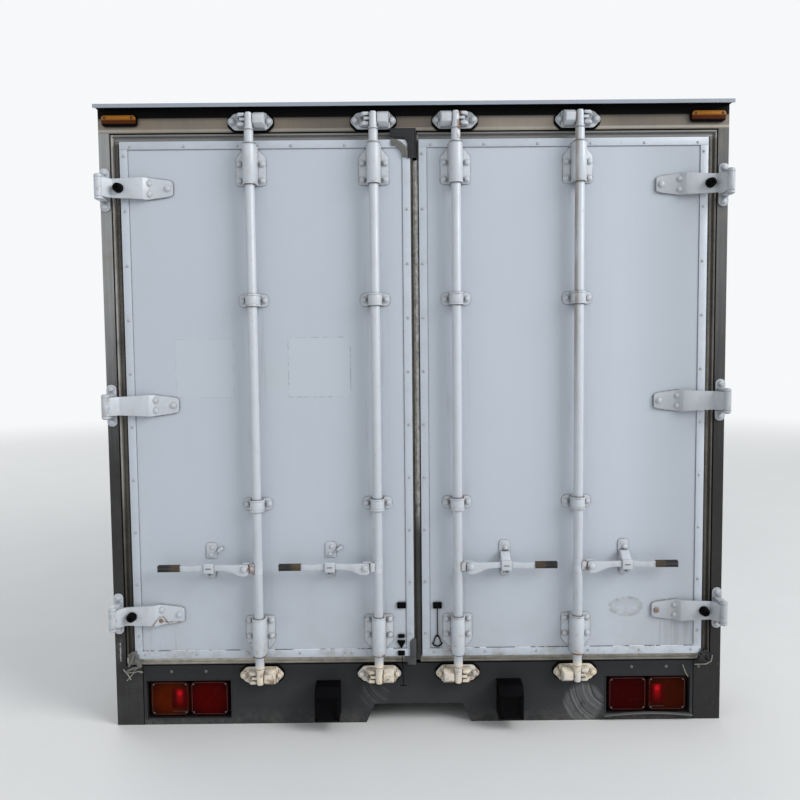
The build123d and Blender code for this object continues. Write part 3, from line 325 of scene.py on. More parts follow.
class Paint:
    """A finish under construction: its node tree, and the patterns it is mixed from."""

    def __init__(self, name):
        self.material = bpy.data.materials.new(f"{name}_finish")
        self.material.use_nodes = True
        self.tree = self.material.node_tree
        self.tree.nodes.clear()
        self.place = self.node("ShaderNodeTexCoord", out="Object")
        axes = [self.node("ShaderNodeSeparateXYZ", {}, (self.place,), out=i) for i in range(3)]
        self.x, self.y, self.z = axes

    def node(self, kind, settings=None, sockets=(), out=0):
        """Adds a node of that type, with its settings first and then its sockets' values or links."""
        new = self.tree.nodes.new(kind)
        for name, value in (settings or {}).items():
            setattr(new, name, value)
        for key, value in sockets.items() if isinstance(sockets, dict) else enumerate(sockets):
            if isinstance(value, Wire):
                self.tree.links.new(value.socket, new.inputs[key])
            else:
                new.inputs[key].default_value = value
        return Wire(self, new.outputs[out]) if new.outputs else None

    def mix(self, factor, first, second):
        """A colour between two colours."""
        sockets = {0: factor, 6: rgba(first), 7: rgba(second)}
        return self.node("ShaderNodeMix", {"data_type": "RGBA"}, sockets, out=2)

    def shade(self, colour, amount):
        """A colour made lighter or darker by a factor."""
        grey = self.node("ShaderNodeCombineXYZ", {}, (amount, amount, amount))
        first = colour if isinstance(colour, Wire) else tuple(colour)
        return self.node("ShaderNodeVectorMath", {"operation": "MULTIPLY"}, (first, grey))

    def noise(self, scale, detail=4.0, rough=0.55, stretch=(1, 1, 1), shift=(0, 0, 0)):
        """Cloudy noise from 0 to 1; a stretch below 1 draws it out along that axis."""
        settings = {"Vector": self.place, "Location": shift, "Scale": stretch}
        place = self.node("ShaderNodeMapping", {}, settings)
        return self.noise_at(place, scale, detail, rough)

    def noise_at(self, place, scale, detail, rough):
        """Cloudy noise from 0 to 1 over a place that is worked out first."""
        sockets = {"Vector": place, "Scale": scale, "Detail": detail, "Roughness": rough}
        return self.node("ShaderNodeTexNoise", {}, sockets)

    def spots(self, scale, size, shift=(0, 0, 0)):
        """Round specks of a size between 0 and 1, scattered in the cells of a Voronoi pattern."""
        place = self.node("ShaderNodeMapping", {}, {"Vector": self.place, "Location": shift})
        return self.node("ShaderNodeTexVoronoi", {}, {"Vector": place, "Scale": scale}).ramp(size, size * 0.6)

    def patch(self, low, high, soft):
        """1 inside a rectangle in the XZ plane and 0 outside it."""
        across = self.x.ramp(low[0] - soft, low[0] + soft) * self.x.ramp(high[0] + soft, high[0] - soft)
        upward = self.z.ramp(low[1] - soft, low[1] + soft)
        return across * upward * self.z.ramp(high[1] + soft, high[1] - soft)

    def spread(self, centre, width, height, across=None):
        """0 at a point in the XZ plane and 1 on an oval round it; across stands in for x."""
        beside = ((self.x if across is None else across) - centre[0]) / width
        above = (self.z - centre[1]) / height
        return beside * beside + above * above

    def blot(self, centre, radius, soft):
        """1 at a point in the XZ plane, fading to 0 at the radius."""
        return self.spread(centre, radius, radius).ramp(1, 1 - soft)

    def wiped(self, centre, scale):
        """Fine streaks in rings about a point in the XZ plane, as a hand that wipes leaves them."""
        across, up = self.x - centre[0], self.z - centre[1]
        away = (across * across + up * up).root() + 0.014 * self.noise(9.0, 3)
        return self.noise_at(self.node("ShaderNodeCombineXYZ", {}, (away, 0, 0)), scale, 4, 0.7)

    def prisms(self, pitch):
        """A fine grid of moulded prisms, from 0 in the grooves to 1."""
        return ((self.x * pitch).sine().size() + (self.z * pitch).sine().size()) * 0.5

    def nearest(self, value, places):
        """The distance from a value to the nearest of several places."""
        found = (value - places[0]).size()
        for place in places[1:]:
            found = found.least((value - place).size())
        return found

    def openness(self, reach, **settings):
        """1 in the open and 0 where faces within the reach close the surface in."""
        settings["samples"] = 8
        return self.node("ShaderNodeAmbientOcclusion", settings, {"Distance": reach}, out=1)

    def hollows(self, reach, low, high):
        """1 deep in corners, of this piece alone or with others, and 0 in the open."""
        return self.openness(reach).ramp(low, high)

    def edges(self, reach):
        """1 along the sharp outer edges of the piece and 0 on its faces."""
        return self.openness(reach, only_local=True, inside=True).ramp(0.90, 0.60)

    def corroded(self):
        """The places of the fittings where the rust has broken through the paint, from 0 to 1."""
        clouds = self.noise(34.0, 5, 0.7, shift=(6, 1, 4))
        bolt_seat = self.blot(RUSTED_BOLT, 0.0095, 0.5) * clouds.ramp(0.28, 0.44)
        fall = (RUST_START - self.z) / 0.030
        across = (self.x - RUSTED_BOLT[0]).size() / (0.004 + 0.022 * fall)
        sides = across.ramp(0.70, 0.90) * across.ramp(1.25, 1.02)
        weeping = sides * fall.ramp(0.0, 0.05) * fall.ramp(1.30, 1.15)
        weeping = weeping * clouds.ramp(0.34, 0.50)
        tip = self.patch(*RUSTED_TIP, 0.002) * clouds.ramp(0.44, 0.56) * 0.8
        tip_bolt = self.blot(RUSTED_TIP_BOLT, 0.0125, 0.6) * clouds.ramp(0.34, 0.50)
        rod_top = self.patch(*RUSTED_ROD, 0.005) * clouds.ramp(0.40, 0.50)
        pads = self.z.ramp(0.225, 0.205) * self.noise(24.0, 5, 0.7, shift=(1, 8, 3)).ramp(0.56, 0.64) * 0.9
        clamps = self.nearest(self.x.size(), [x + 0.024 for x in ROD_XS]).ramp(0.0170, 0.0120)
        clamps = clamps * (self.z - HANDLE_Z).size().ramp(0.026, 0.020)
        clamps = clamps * self.noise(42.0, 5, 0.7).ramp(0.50, 0.60)
        return bolt_seat + weeping + tip + tip_bolt + rod_top + pads + clamps * 0.85

    def finish(self, colour, roughness, metallic=0.0, *, bump, depth, emission=None, specular=0.5):
        """Joins the colour, roughness, metal and relief to the surface."""
        relief = self.node("ShaderNodeBump", {}, {"Strength": 1.0, "Distance": depth, "Height": bump})
        sockets = {
            "Base Color": rgba(colour), "Roughness": roughness, "Metallic": metallic,
            "Specular IOR Level": specular, "Normal": relief,
        }
        if emission:
            sockets["Emission Color"] = rgba(emission)
            sockets["Emission Strength"] = 0.25
        self.show(self.node("ShaderNodeBsdfPrincipled", {}, sockets))

    def show(self, surface):
        """Ends the finish with its surface."""
        self.node("ShaderNodeOutputMaterial", {}, {"Surface": surface})

    def fading_floor(self, colour, near, far):
        """A floor that turns into the plain backdrop between two distances, for rays that show it."""
        surface = self.node("ShaderNodeBsdfPrincipled", {}, {"Base Color": colour, "Roughness": 0.85})
        glow = self.node("ShaderNodeEmission", {}, {"Color": rgba(BACKDROP), "Strength": 1.0})
        seen, glossy, through = (self.node("ShaderNodeLightPath", out=ray) for ray in SHOWING_RAYS)
        away = (self.x * self.x + self.y * self.y).root().ramp(near, far)
        shown = away * seen.most(glossy).most(through)
        self.show(self.node("ShaderNodeMixShader", {}, {0: shown, 1: surface, 2: glow}))


# Finishes


def door_skin(tones):
    """Painted sheet of the leaves: faint clouding, run-down dirt, pale film marks and a few scratches, with
    painted shade at the right edge and painted shade mixed with dirt round the fittings.
    """
    paint = Paint("door_skin")
    clouds = paint.noise(1.6, 5, 0.6)
    runs = paint.noise(9.0, 5, 0.65, stretch=(1, 1, 0.05))
    # Painted shade: the skin is darker towards the right edge.
    dull = 1 - 0.17 * paint.x.ramp(0.72, 0.98)
    outside = paint.y.ramp(SKIN + 0.020, SKIN + 0.010)
    colour = paint.shade(tones.door_paint, (0.94 + 0.08 * clouds + 0.05 * runs) * dull)
    low_dirt = outside * paint.z.ramp(0.75, 0.25) * (0.25 + 0.75 * paint.noise(7.0, 6, 0.7)).ramp(0.35, 0.95)
    streaked = paint.noise(5.0, 6, 0.7, stretch=(1, 1, 0.3)).ramp(0.42, 0.75)
    edge_dirt = paint.x.size().ramp(0.90, 1.02) * streaked
    rod = paint.nearest(paint.x.size(), ROD_XS)
    # Painted shade mixed with dirt: a dark rim where the fittings stand on the skin and close it in.
    rim = paint.hollows(0.009, 0.93, 0.66) * (0.35 + 0.65 * paint.noise(40.0, 4, 0.7).ramp(0.35, 0.65))
    colour = paint.mix(rim * 0.62, colour, (0.080, 0.073, 0.062))
    drips = outside * paint.noise(70.0, 3, 0.6, stretch=(1, 1, 0.05)).ramp(0.52, 0.72)
    under = paint.x.size().ramp(STRAP_TIP, STRAP_TIP + 0.02) * paint.z.ramp(0.395, 0.375)
    under = under + rod.ramp(0.055, 0.035) * 0.6
    colour = paint.mix((drips * under * 0.24).least(1), colour, (0.150, 0.125, 0.095))
    colour = paint.mix((low_dirt * 0.30).least(1), colour, tones.dust)
    colour = paint.mix(edge_dirt * 0.16, colour, tones.dust)
    broken = paint.noise(36.0, 5, 0.7, shift=(3, 7, 1)).ramp(0.42, 0.58)
    for (low, high), line in zip(FILMS, (0.22, 0.62)):
        film = outside * paint.patch(low, high, 0.0012)
        inset = [place + 0.003 for place in low], [place - 0.003 for place in high]
        inner = outside * paint.patch(*inset, 0.0012)
        colour = paint.mix(film * 0.10, colour, (0.58, 0.60, 0.62))
        colour = paint.mix((film - inner) * broken * line, colour, (0.150, 0.155, 0.165))
    ghost = outside * paint.blot(FILM_GHOST, 0.062, 0.35) * paint.noise(30.0, 3).ramp(0.25, 0.55)
    colour = paint.mix(ghost * 0.25, colour, (0.46, 0.50, 0.46))
    span = paint.spread(SMEAR, 0.068, 0.040)
    smear = outside * span.ramp(1.0, 0.85) * (0.25 + 0.75 * span.ramp(0.10, 0.80))
    smear = smear * paint.noise(55.0, 5, 0.75).ramp(0.38, 0.62)
    colour = paint.mix(smear * 0.75, colour, (0.255, 0.265, 0.240))
    hairs = paint.noise(60.0, 2, 0.5, stretch=(1, 1, 0.012)).ramp(0.70, 0.76)
    hairs = hairs.most(paint.noise(14.0, 4).ramp(0.60, 0.70))
    scratch = outside * paint.patch(*DOOR_SCRATCH, 0.004) * hairs
    colour = paint.mix(scratch * 0.35, colour, (0.30, 0.31, 0.33))
    flecks = paint.spots(38.0, 0.045) * paint.noise(3.0, 3).ramp(0.45, 0.70)
    colour = paint.mix(flecks * 0.45, colour, tones.dust)
    relief = paint.noise(2.4, 3, 0.5) * 0.6 + paint.noise(160.0, 2, 0.5) * 0.05
    rough = 0.34 + 0.14 * clouds + 0.20 * low_dirt
    paint.finish(colour, rough, bump=relief, depth=0.0016, specular=0.35)


def white_hardware(tones, name, grime, low_rust):
    """Brushed-on white paint over castings and rods: hollows darkened with grime and painted shade, worn
    edges, rust where it chipped, and painted shade at the right edge and round the guides' mouths.
    """
    paint = Paint(name)
    clouds = paint.noise(9.0, 5, 0.6)
    # Painted shade: the hardware is darker towards the right edge.
    dull = 1 - 0.22 * paint.x.ramp(0.70, 0.95)
    colour = paint.shade(tones.hardware_paint, (0.95 + 0.10 * clouds) * dull)
    patches = paint.noise(22.0, 6, 0.7, stretch=(1, 1, 0.5)).ramp(0.44, 0.70)
    hollow = paint.hollows(0.011, 0.86, 0.46)
    colour = paint.mix(patches * grime * 0.55, colour, tones.dust)
    low = paint.z.ramp(0.50, 0.20)
    uneven = paint.noise(18.0, 4, 0.6, shift=(2, 2, 2)).ramp(0.35, 0.60)
    foot = paint.z.ramp(0.262, 0.236) * (0.45 + 0.55 * uneven)
    colour = paint.mix(foot * 0.80, colour, (0.780, 0.660, 0.480))
    stain = paint.noise(30.0, 6, 0.72).ramp(0.55, 0.70) * (0.30 + low * 1.2 * low_rust)
    colour = paint.mix((stain * tones.wear * 0.55).least(1), colour, (0.40, 0.28, 0.16))
    # Painted shade mixed with grime: the hollows are darkened.
    colour = paint.mix(hollow * (0.55 + 0.35 * patches), colour, (0.050, 0.043, 0.036))
    seep = hollow * paint.noise(16.0, 4, 0.6, shift=(4, 1, 2)).ramp(0.56, 0.66)
    # Painted shade: dark rings in the gaps where the rods enter the guides.
    guide_ends = (LEAF_LOW.z + GUIDE_START - 0.001, LEAF_HIGH.z - GUIDE_START + 0.001)
    mouths = paint.nearest(paint.z, guide_ends).ramp(0.0036, 0.0020)
    colour = paint.mix(mouths * 0.90, colour, (0.022, 0.018, 0.014))
    past = ROD_XS[1] - paint.x
    flank = past.ramp(0.004, 0.0125) * past.ramp(0.0195, 0.0180) * paint.z.ramp(1.00, 1.55)
    flank = flank * paint.noise(26.0, 5, 0.7, stretch=(1, 1, 0.20), shift=(1, 2, 8)).ramp(0.34, 0.56)
    colour = paint.mix(flank * 0.62, colour, (0.185, 0.130, 0.075))
    worn = paint.edges(0.0028) * paint.noise(26.0, 5, 0.7, shift=(7, 3, 5)).ramp(0.50, 0.60) * (0.35 + low)
    chips = paint.noise(75.0, 5, 0.70, shift=(3.1, 1.7, 0.4)).ramp(0.665, 0.70)
    chips = chips * (0.55 + low * 0.9 * low_rust)
    chips = chips + worn + seep * 0.6 + paint.corroded()
    chips = (chips * tones.wear).least(1)
    rust = paint.mix(paint.noise(48.0, 4, 0.7), tones.rust, (0.100, 0.048, 0.022))
    colour = paint.mix(chips * 0.85, colour, rust)
    rough = 0.33 + 0.15 * patches + 0.35 * chips
    relief = clouds * 0.4 - chips * 0.8 + paint.noise(220.0, 3) * 0.12
    paint.finish(colour, rough, bump=relief, depth=0.0010)


def door_edge(tones):
    """Painted edge moulding, dirtier than the skin and darker along the bottom."""
    paint = Paint("door_edge")
    colour = paint.shade(tones.door_paint, 0.96 + 0.12 * paint.noise(5.0, 5, 0.6))
    dirt = paint.noise(14.0, 6, 0.7).ramp(0.42, 0.75)
    low = paint.z.ramp(0.45, 0.27)
    colour = paint.mix((dirt * (0.18 + 0.62 * low)).least(1), colour, tones.dust)
    specks = paint.noise(80.0, 4, 0.7).ramp(0.66, 0.72)
    colour = paint.mix(specks * 0.5, colour, (0.14, 0.12, 0.10))
    paint.finish(colour, 0.38 + 0.25 * dirt, bump=paint.noise(120.0, 3), depth=0.0004)


def header_steel(tones):
    """Bare stainless sheet of the header: long dull clouds, run-down grime, a top blackened with painted
    shade under the visor, and painted shade in its corners.
    """
    paint = Paint("header_steel")
    grain = paint.noise(240.0, 3, 0.6, stretch=(0.02, 1, 1))
    clouds = paint.noise(3.2, 6, 0.65, stretch=(0.6, 1, 1))
    runs = paint.noise(60.0, 5, 0.7, stretch=(1, 1, 0.10))
    colour = paint.shade(tones.steel, 0.30 + 1.05 * clouds + 0.35 * runs + 0.10 * grain)
    warm = paint.noise(6.0, 5, 0.6, shift=(5, 2, 1)).ramp(0.48, 0.72)
    colour = paint.mix(warm * 0.45, colour, (0.185, 0.140, 0.092))
    rubbed = 0.75 * paint.x.ramp(0.10, 0.30) * paint.x.ramp(0.75, 0.55) + 0.35 * paint.x.ramp(-0.30, -0.55)
    colour = paint.shade(colour, 1.0 + rubbed)
    # Painted shade under the visor blackens the top of the sheet; the runs are grime.
    grime = paint.z.ramp(2.206, 2.226) * 0.92 + runs.ramp(0.58, 0.76) * 0.45
    above = paint.z - HEADER_LOW
    lip = above.ramp(0.0135, 0.0110) * above.ramp(0.0030, 0.0050) * (0.55 + 0.45 * clouds.ramp(0.35, 0.6))
    grime = grime * (1 - lip)
    colour = paint.mix(lip * 0.80, colour, (0.360, 0.345, 0.310))
    # Painted shade in the corners, where the keepers and the visor close the sheet in.
    colour = paint.mix(paint.hollows(0.012, 0.90, 0.55) * 0.65, colour, (0.012, 0.011, 0.010))
    colour = paint.mix(grime.least(0.96), colour, (0.016, 0.014, 0.012))
    paint.finish(colour, 0.40 + 0.15 * clouds, 0.45 - 0.40 * grime.least(1), bump=grain, depth=0.0002)


def post_steel():
    """Bare stainless of the posts: upright streaks that are bright at the top and nearly black below, and
    painted shade on the right post.
    """
    paint = Paint("post_steel")
    streaks = paint.noise(75.0, 5, 0.7, stretch=(1, 1, 0.03))
    fine = paint.noise(260.0, 3, 0.6, stretch=(1, 1, 0.02))
    clouds = paint.noise(4.5, 6, 0.65)
    colour = paint.shade((0.235, 0.240, 0.240), 0.30 + 0.85 * streaks + 0.35 * clouds + 0.20 * fine)
    # Painted shade: the right post is darker than the left.
    colour = paint.shade(colour, 1.08 - 0.66 * paint.x.ramp(0.0, 0.1))
    warm = paint.noise(9.0, 5, 0.6, shift=(5, 2, 1)).ramp(0.50, 0.72)
    colour = paint.mix(warm * 0.35, colour, (0.205, 0.165, 0.115))
    level = paint.z + 0.35 * paint.noise(3.0, 4, 0.6, stretch=(3, 1, 1)) + 0.25 * streaks
    grime = level.ramp(2.05, 1.25) * (0.84 + 0.16 * paint.noise(14.0, 6, 0.7))
    colour = paint.mix(grime.least(0.95), colour, (0.016, 0.015, 0.015))
    specks = paint.noise(60.0, 4, 0.7).ramp(0.62, 0.72) * paint.z.ramp(0.9, 0.3)
    colour = paint.mix(specks * 0.35, colour, (0.15, 0.145, 0.14))
    scuffed = paint.patch(*POST_SCUFF, 0.004) * paint.noise(70.0, 5, 0.7).ramp(0.40, 0.58)
    colour = paint.mix(scuffed * 0.60, colour, (0.085, 0.078, 0.080))
    scratch = paint.patch(*POST_SCRATCH, 0.0014) * paint.noise(90.0, 4, 0.7).ramp(0.38, 0.50)
    colour = paint.mix(scratch * 0.75, colour, (0.480, 0.480, 0.480))
    metal = 0.5 - 0.45 * grime.least(1)
    rough = 0.40 + 0.12 * clouds + 0.2 * grime
    paint.finish(colour, rough, metal, bump=fine, depth=0.0002, specular=0.22)


def skirt_paint(tones):
    """Dull dark paint with dust, pale swirls and scrapes, painted shade that darkens it towards the top, and
    a lighter band of dried mud at the ground.
    """
    paint = Paint("skirt_paint")
    clouds = paint.noise(6.0, 6, 0.7)
    # Clouding, and painted shade that darkens the skirt towards its top.
    light = (0.55 + 0.60 * clouds) * (1.10 - 0.45 * paint.z.ramp(0.10, 0.215))
    colour = paint.shade(tones.skirt_paint, light)
    scrapes = paint.noise(26.0, 5, 0.7, stretch=(0.16, 1, 1)).ramp(0.655, 0.70)
    scrapes = scrapes * paint.noise(5.0, 3).ramp(0.48, 0.62)
    chalk = paint.wiped((0.735, 0.145), 105.0).ramp(0.38, 0.60) * paint.blot(CHALK, 0.082, 0.5)
    faint = paint.wiped((-0.070, 0.190), 150.0).ramp(0.46, 0.64) * paint.blot(FAINT_CHALK, 0.062, 0.6)
    chalk = chalk.most(faint * 0.5) * paint.noise(34.0, 4, 0.7, shift=(1, 5, 2)).ramp(0.24, 0.50)
    colour = paint.mix((scrapes * 0.30).least(1), colour, (0.125, 0.128, 0.126))
    colour = paint.mix(chalk * 0.85, colour, (0.165, 0.168, 0.166))
    mud = paint.z.ramp(0.075, 0.0) * paint.noise(22.0, 6, 0.75).ramp(0.35, 0.75)
    colour = paint.mix(mud * 0.22, colour, tones.dust)
    paint.finish(colour, 0.55 + 0.2 * clouds, bump=paint.noise(90.0, 4), depth=0.0006, specular=0.25)


def rubber(tones, name, tone, dust, specular=0.10):
    """Aged rubber with a little dust on it."""
    paint = Paint(name)
    clouds = paint.noise(12.0, 6, 0.7)
    colour = paint.shade(tone, 0.8 + 0.5 * clouds)
    colour = paint.mix(clouds.ramp(0.48, 0.80) * dust, colour, tones.dust)
    paint.finish(colour, 0.55 + 0.2 * clouds, bump=paint.noise(140.0, 4), depth=0.0005, specular=specular)


def seal_rubber():
    """Door seal: speckled brown-grey rubber with a pale lip on the left that is a painted highlight, cream
    with dust along the bottom, its brightness there set by painted light and shade.
    """
    paint = Paint("seal_rubber")
    clouds = paint.noise(13.0, 6, 0.7, stretch=(1, 1, 0.4))
    specks = paint.noise(150.0, 4, 0.7).ramp(0.40, 0.66)
    colour = paint.mix(clouds.ramp(0.30, 0.75), (0.050, 0.046, 0.040), (0.130, 0.122, 0.108))
    colour = paint.mix(specks * 0.45, colour, (0.185, 0.170, 0.140))
    colour = paint.mix(paint.z.ramp(2.128, 2.140) * 0.80, colour, (0.235, 0.236, 0.230))
    low = paint.z.ramp(1.30, 0.45) * (0.55 + 0.45 * paint.noise(9.0, 5, 0.7))
    colour = paint.mix(low * 0.80, colour, (0.026, 0.022, 0.017))
    # Painted highlight: the pale lip on the left, where the edge beside the post catches the light.
    outer = SEAL_HIGH.x + paint.x
    pale = outer.ramp(0.0125, 0.0105) * paint.z.ramp(0.55, 1.15) * (0.45 + 0.55 * clouds.ramp(0.3, 0.6))
    colour = paint.mix(pale, colour, (0.370, 0.350, 0.325))
    dusty = paint.z.ramp(0.262, 0.254) * (0.62 + 0.38 * paint.noise(24.0, 6, 0.7).ramp(0.30, 0.65))
    # Painted light and shade on the dust: darker on the lowest strip, lighter above it and towards the left.
    deep = 0.62 + 0.95 * paint.z.ramp(SEAL_LOW.z + 0.006, SEAL_LOW.z + 0.011)
    deep = deep * (1 + 0.45 * paint.x.ramp(-0.15, -0.70))
    colour = paint.mix(dusty * 0.95, colour, paint.shade((0.285, 0.268, 0.232), deep))
    paint.finish(colour, 0.74, bump=clouds + 0.3 * specks, depth=0.0010, specular=0.3)


def centre_lip():
    """Lip in the middle gap: mottled dark rubber, pale along its right edge with painted light, black towards
    the foot.
    """
    paint = Paint("centre_lip")
    mottle = paint.noise(70.0, 5, 0.75, stretch=(1, 1, 0.5))
    # Painted light and shade: the lip is pale to the right and dark to the left.
    colour = paint.mix(paint.x.ramp(-0.0015, 0.0055), (0.175, 0.165, 0.145), (0.430, 0.425, 0.400))
    colour = paint.shade(colour, 0.40 + 1.10 * mottle.ramp(0.25, 0.75))
    colour = paint.mix(paint.z.ramp(0.87, 0.68) * 0.93, colour, (0.036, 0.036, 0.032))
    paint.finish(colour, 0.70, bump=mottle, depth=0.0006, specular=0.2)


def sealant(tones):
    """Sealant round the skin: white along the foot where it is whole, black where it has broken away."""
    paint = Paint("sealant")
    foot = paint.z.ramp(0.300, 0.292)
    lost = foot * paint.noise(16.0, 5, 0.7, shift=(2, 5, 3)).ramp(0.48, 0.54)
    colour = paint.mix(paint.noise(12.0, 6, 0.7).ramp(0.48, 0.80) * 0.2, (0.230, 0.250, 0.285), tones.dust)
    colour = paint.mix(foot, colour, (0.760, 0.790, 0.830))
    colour = paint.mix(lost * 0.92, colour, (0.018, 0.016, 0.014))
    paint.finish(colour, 0.65, bump=paint.noise(140.0, 4), depth=0.0005, specular=0.1)


def lens(tones, name, tone, glow, middle):
    """Moulded lens: a grid of prisms, a painted glow in the middle that leaves it deep in colour round the
    edge, and painted shade that dims the right lamps.
    """
    paint = Paint(name)
    grid = paint.prisms(620.0)
    # Painted glow: the middle of each lens is brighter than its edge; painted shade dims the lamps on the
    # right.
    painted_glow_and_shade = paint.spread((middle, LENS_MIDDLE), 0.080, 0.074, paint.x.size()).ramp(1.15, 0.05)
    painted_glow_and_shade = painted_glow_and_shade * (1 - 0.68 * paint.x.ramp(-0.1, 0.1))
    colour = paint.shade(tone, (0.40 + 0.45 * grid + 0.30 * paint.noise(14.0, 3)) * (0.45 + 1.10 * painted_glow_and_shade))
    film = paint.noise(30.0, 5, 0.7).ramp(0.50, 0.80)
    colour = paint.mix(film * 0.008, colour, tones.dust)
    paint.finish(colour, 0.26 + 0.25 * film, bump=grid, depth=0.0004, emission=glow, specular=0.03)


def reflector():
    """Reflex reflector: dark red prisms with a bright spot near the top, where they throw the light back."""
    paint = Paint("reflector_red")
    cells = paint.prisms(900.0)
    outward = paint.x.size()
    spot = paint.spread(REFLECTOR_SPOT, 0.012, 0.011, outward).ramp(1.0, 0.0)
    beam = ((outward - REFLECTOR_SPOT[0]) / 0.012).size().ramp(1.6, 0.3) * paint.z.ramp(0.055, 0.110)
    colour = paint.mix(beam, (0.050, 0.0006, 0.0006), (0.230, 0.003, 0.004))
    colour = paint.mix(spot, colour, (0.480, 0.005, 0.012))
    colour = paint.shade(colour, 0.75 + 0.35 * cells)
    paint.finish(colour, 0.25, bump=cells, depth=0.0003, specular=0.04)


def marker_lens():
    """Moulded amber lens under the visor: bright with painted light on its upper face, brown with painted
    shade on the side that turns down.
    """
    paint = Paint("marker_lens")
    ribs = (paint.x * 520.0).sine().size()
    level = paint.z + paint.noise(20.0, 4, 0.6) * 0.004
    # Painted light and shade: bright amber above, brown below on the face that turns down.
    colour = paint.mix(level.ramp(2.2095, 2.2165), (0.075, 0.014, 0.002), (0.335, 0.130, 0.012))
    colour = paint.shade(colour, 0.80 + 0.20 * ribs + 0.15 * paint.noise(60.0, 3))
    paint.finish(colour, 0.30, bump=ribs, depth=0.0004, emission=(0.03, 0.01, 0.0), specular=0.12)


def worn_metal(name, tone, metallic, roughness, dirt, stretch=(1, 1, 1)):
    """Mill-finish or galvanised metal with soft clouding and settled dirt."""
    paint = Paint(name)
    clouds = paint.noise(7.0, 6, 0.65, stretch=stretch)
    colour = paint.shade(tone, 0.82 + 0.34 * clouds)
    grime = paint.noise(16.0, 6, 0.7, stretch=stretch).ramp(0.48, 0.78)
    colour = paint.mix(grime * dirt, colour, (0.10, 0.095, 0.085))
    metal = metallic - 0.4 * metallic * grime
    paint.finish(colour, roughness + 0.2 * grime, metal, bump=paint.noise(110.0, 4), depth=0.0003)


def panel_skin(tones):
    """Smooth laminate of the walls and roof, with faint waves and rain streaks below the rails."""
    paint = Paint("panel_skin")
    clouds = paint.noise(0.9, 5, 0.6)
    streaks = paint.noise(12.0, 6, 0.7, stretch=(1, 1, 0.04)).ramp(0.50, 0.80)
    colour = paint.shade(tones.wall_paint, 0.94 + 0.10 * clouds)
    colour = paint.mix(streaks * 0.20, colour, tones.dust)
    low = paint.z.ramp(0.55, 0.20) * paint.noise(6.0, 6, 0.7).ramp(0.35, 0.75)
    colour = paint.mix(low * 0.40, colour, tones.dust)
    relief = paint.noise(1.6, 3) + paint.noise(70.0, 3) * 0.03
    paint.finish(colour, 0.50 + 0.2 * streaks, bump=relief, depth=0.003, specular=0.2)


def plastic(tones, name, tone, roughness, dirt):
    """Moulded plastic with a fine grain and a little dirt."""
    paint = Paint(name)
    clouds = paint.noise(8.0, 5, 0.6)
    colour = paint.mix(clouds.ramp(0.50, 0.80) * dirt, paint.shade(tone, 0.9 + 0.2 * clouds), tones.dust)
    paint.finish(colour, roughness + 0.15 * clouds, bump=paint.noise(260.0, 3), depth=0.0003)


def grip():
    """Worn sleeve of a handle: brown with dirt towards the arm, near black at its end, rubbed in between."""
    paint = Paint("grip_plastic")
    clouds = paint.noise(40.0, 5, 0.7)
    start = paint.x.size()
    tip = ROD_XS[0] + HANDLE_LENGTH
    end = start.ramp(tip - 0.060, tip - 0.035) * start.ramp(tip + 0.100, tip + 0.004)
    far = ROD_XS[1] + HANDLE_LENGTH
    end = end.most(start.ramp(far - 0.060, far - 0.035))
    colour = paint.mix(end, paint.shade((0.060, 0.040, 0.022), 0.5 + 0.9 * clouds), (0.008, 0.008, 0.009))
    rubbed = (paint.z - HANDLE_Z - 0.006).size().ramp(0.0045, 0.0015) * clouds.ramp(0.38, 0.60)
    colour = paint.mix(rubbed * 0.35, colour, (0.120, 0.110, 0.095))
    paint.finish(colour, 0.40 + 0.2 * clouds, bump=clouds, depth=0.0004, specular=0.35)


def fin_pack():
    """Close aluminium fins, drawn as fine upright lines."""
    paint = Paint("fin_pack")
    lines = (paint.x * 1400.0).sine() * 0.5 + 0.5
    colour = paint.shade((0.36, 0.37, 0.38), 0.35 + 0.65 * lines)
    colour = paint.mix(paint.noise(10.0, 5, 0.7).ramp(0.45, 0.8) * 0.5, colour, (0.09, 0.085, 0.075))
    paint.finish(colour, 0.5, 0.5, bump=lines, depth=0.0012)


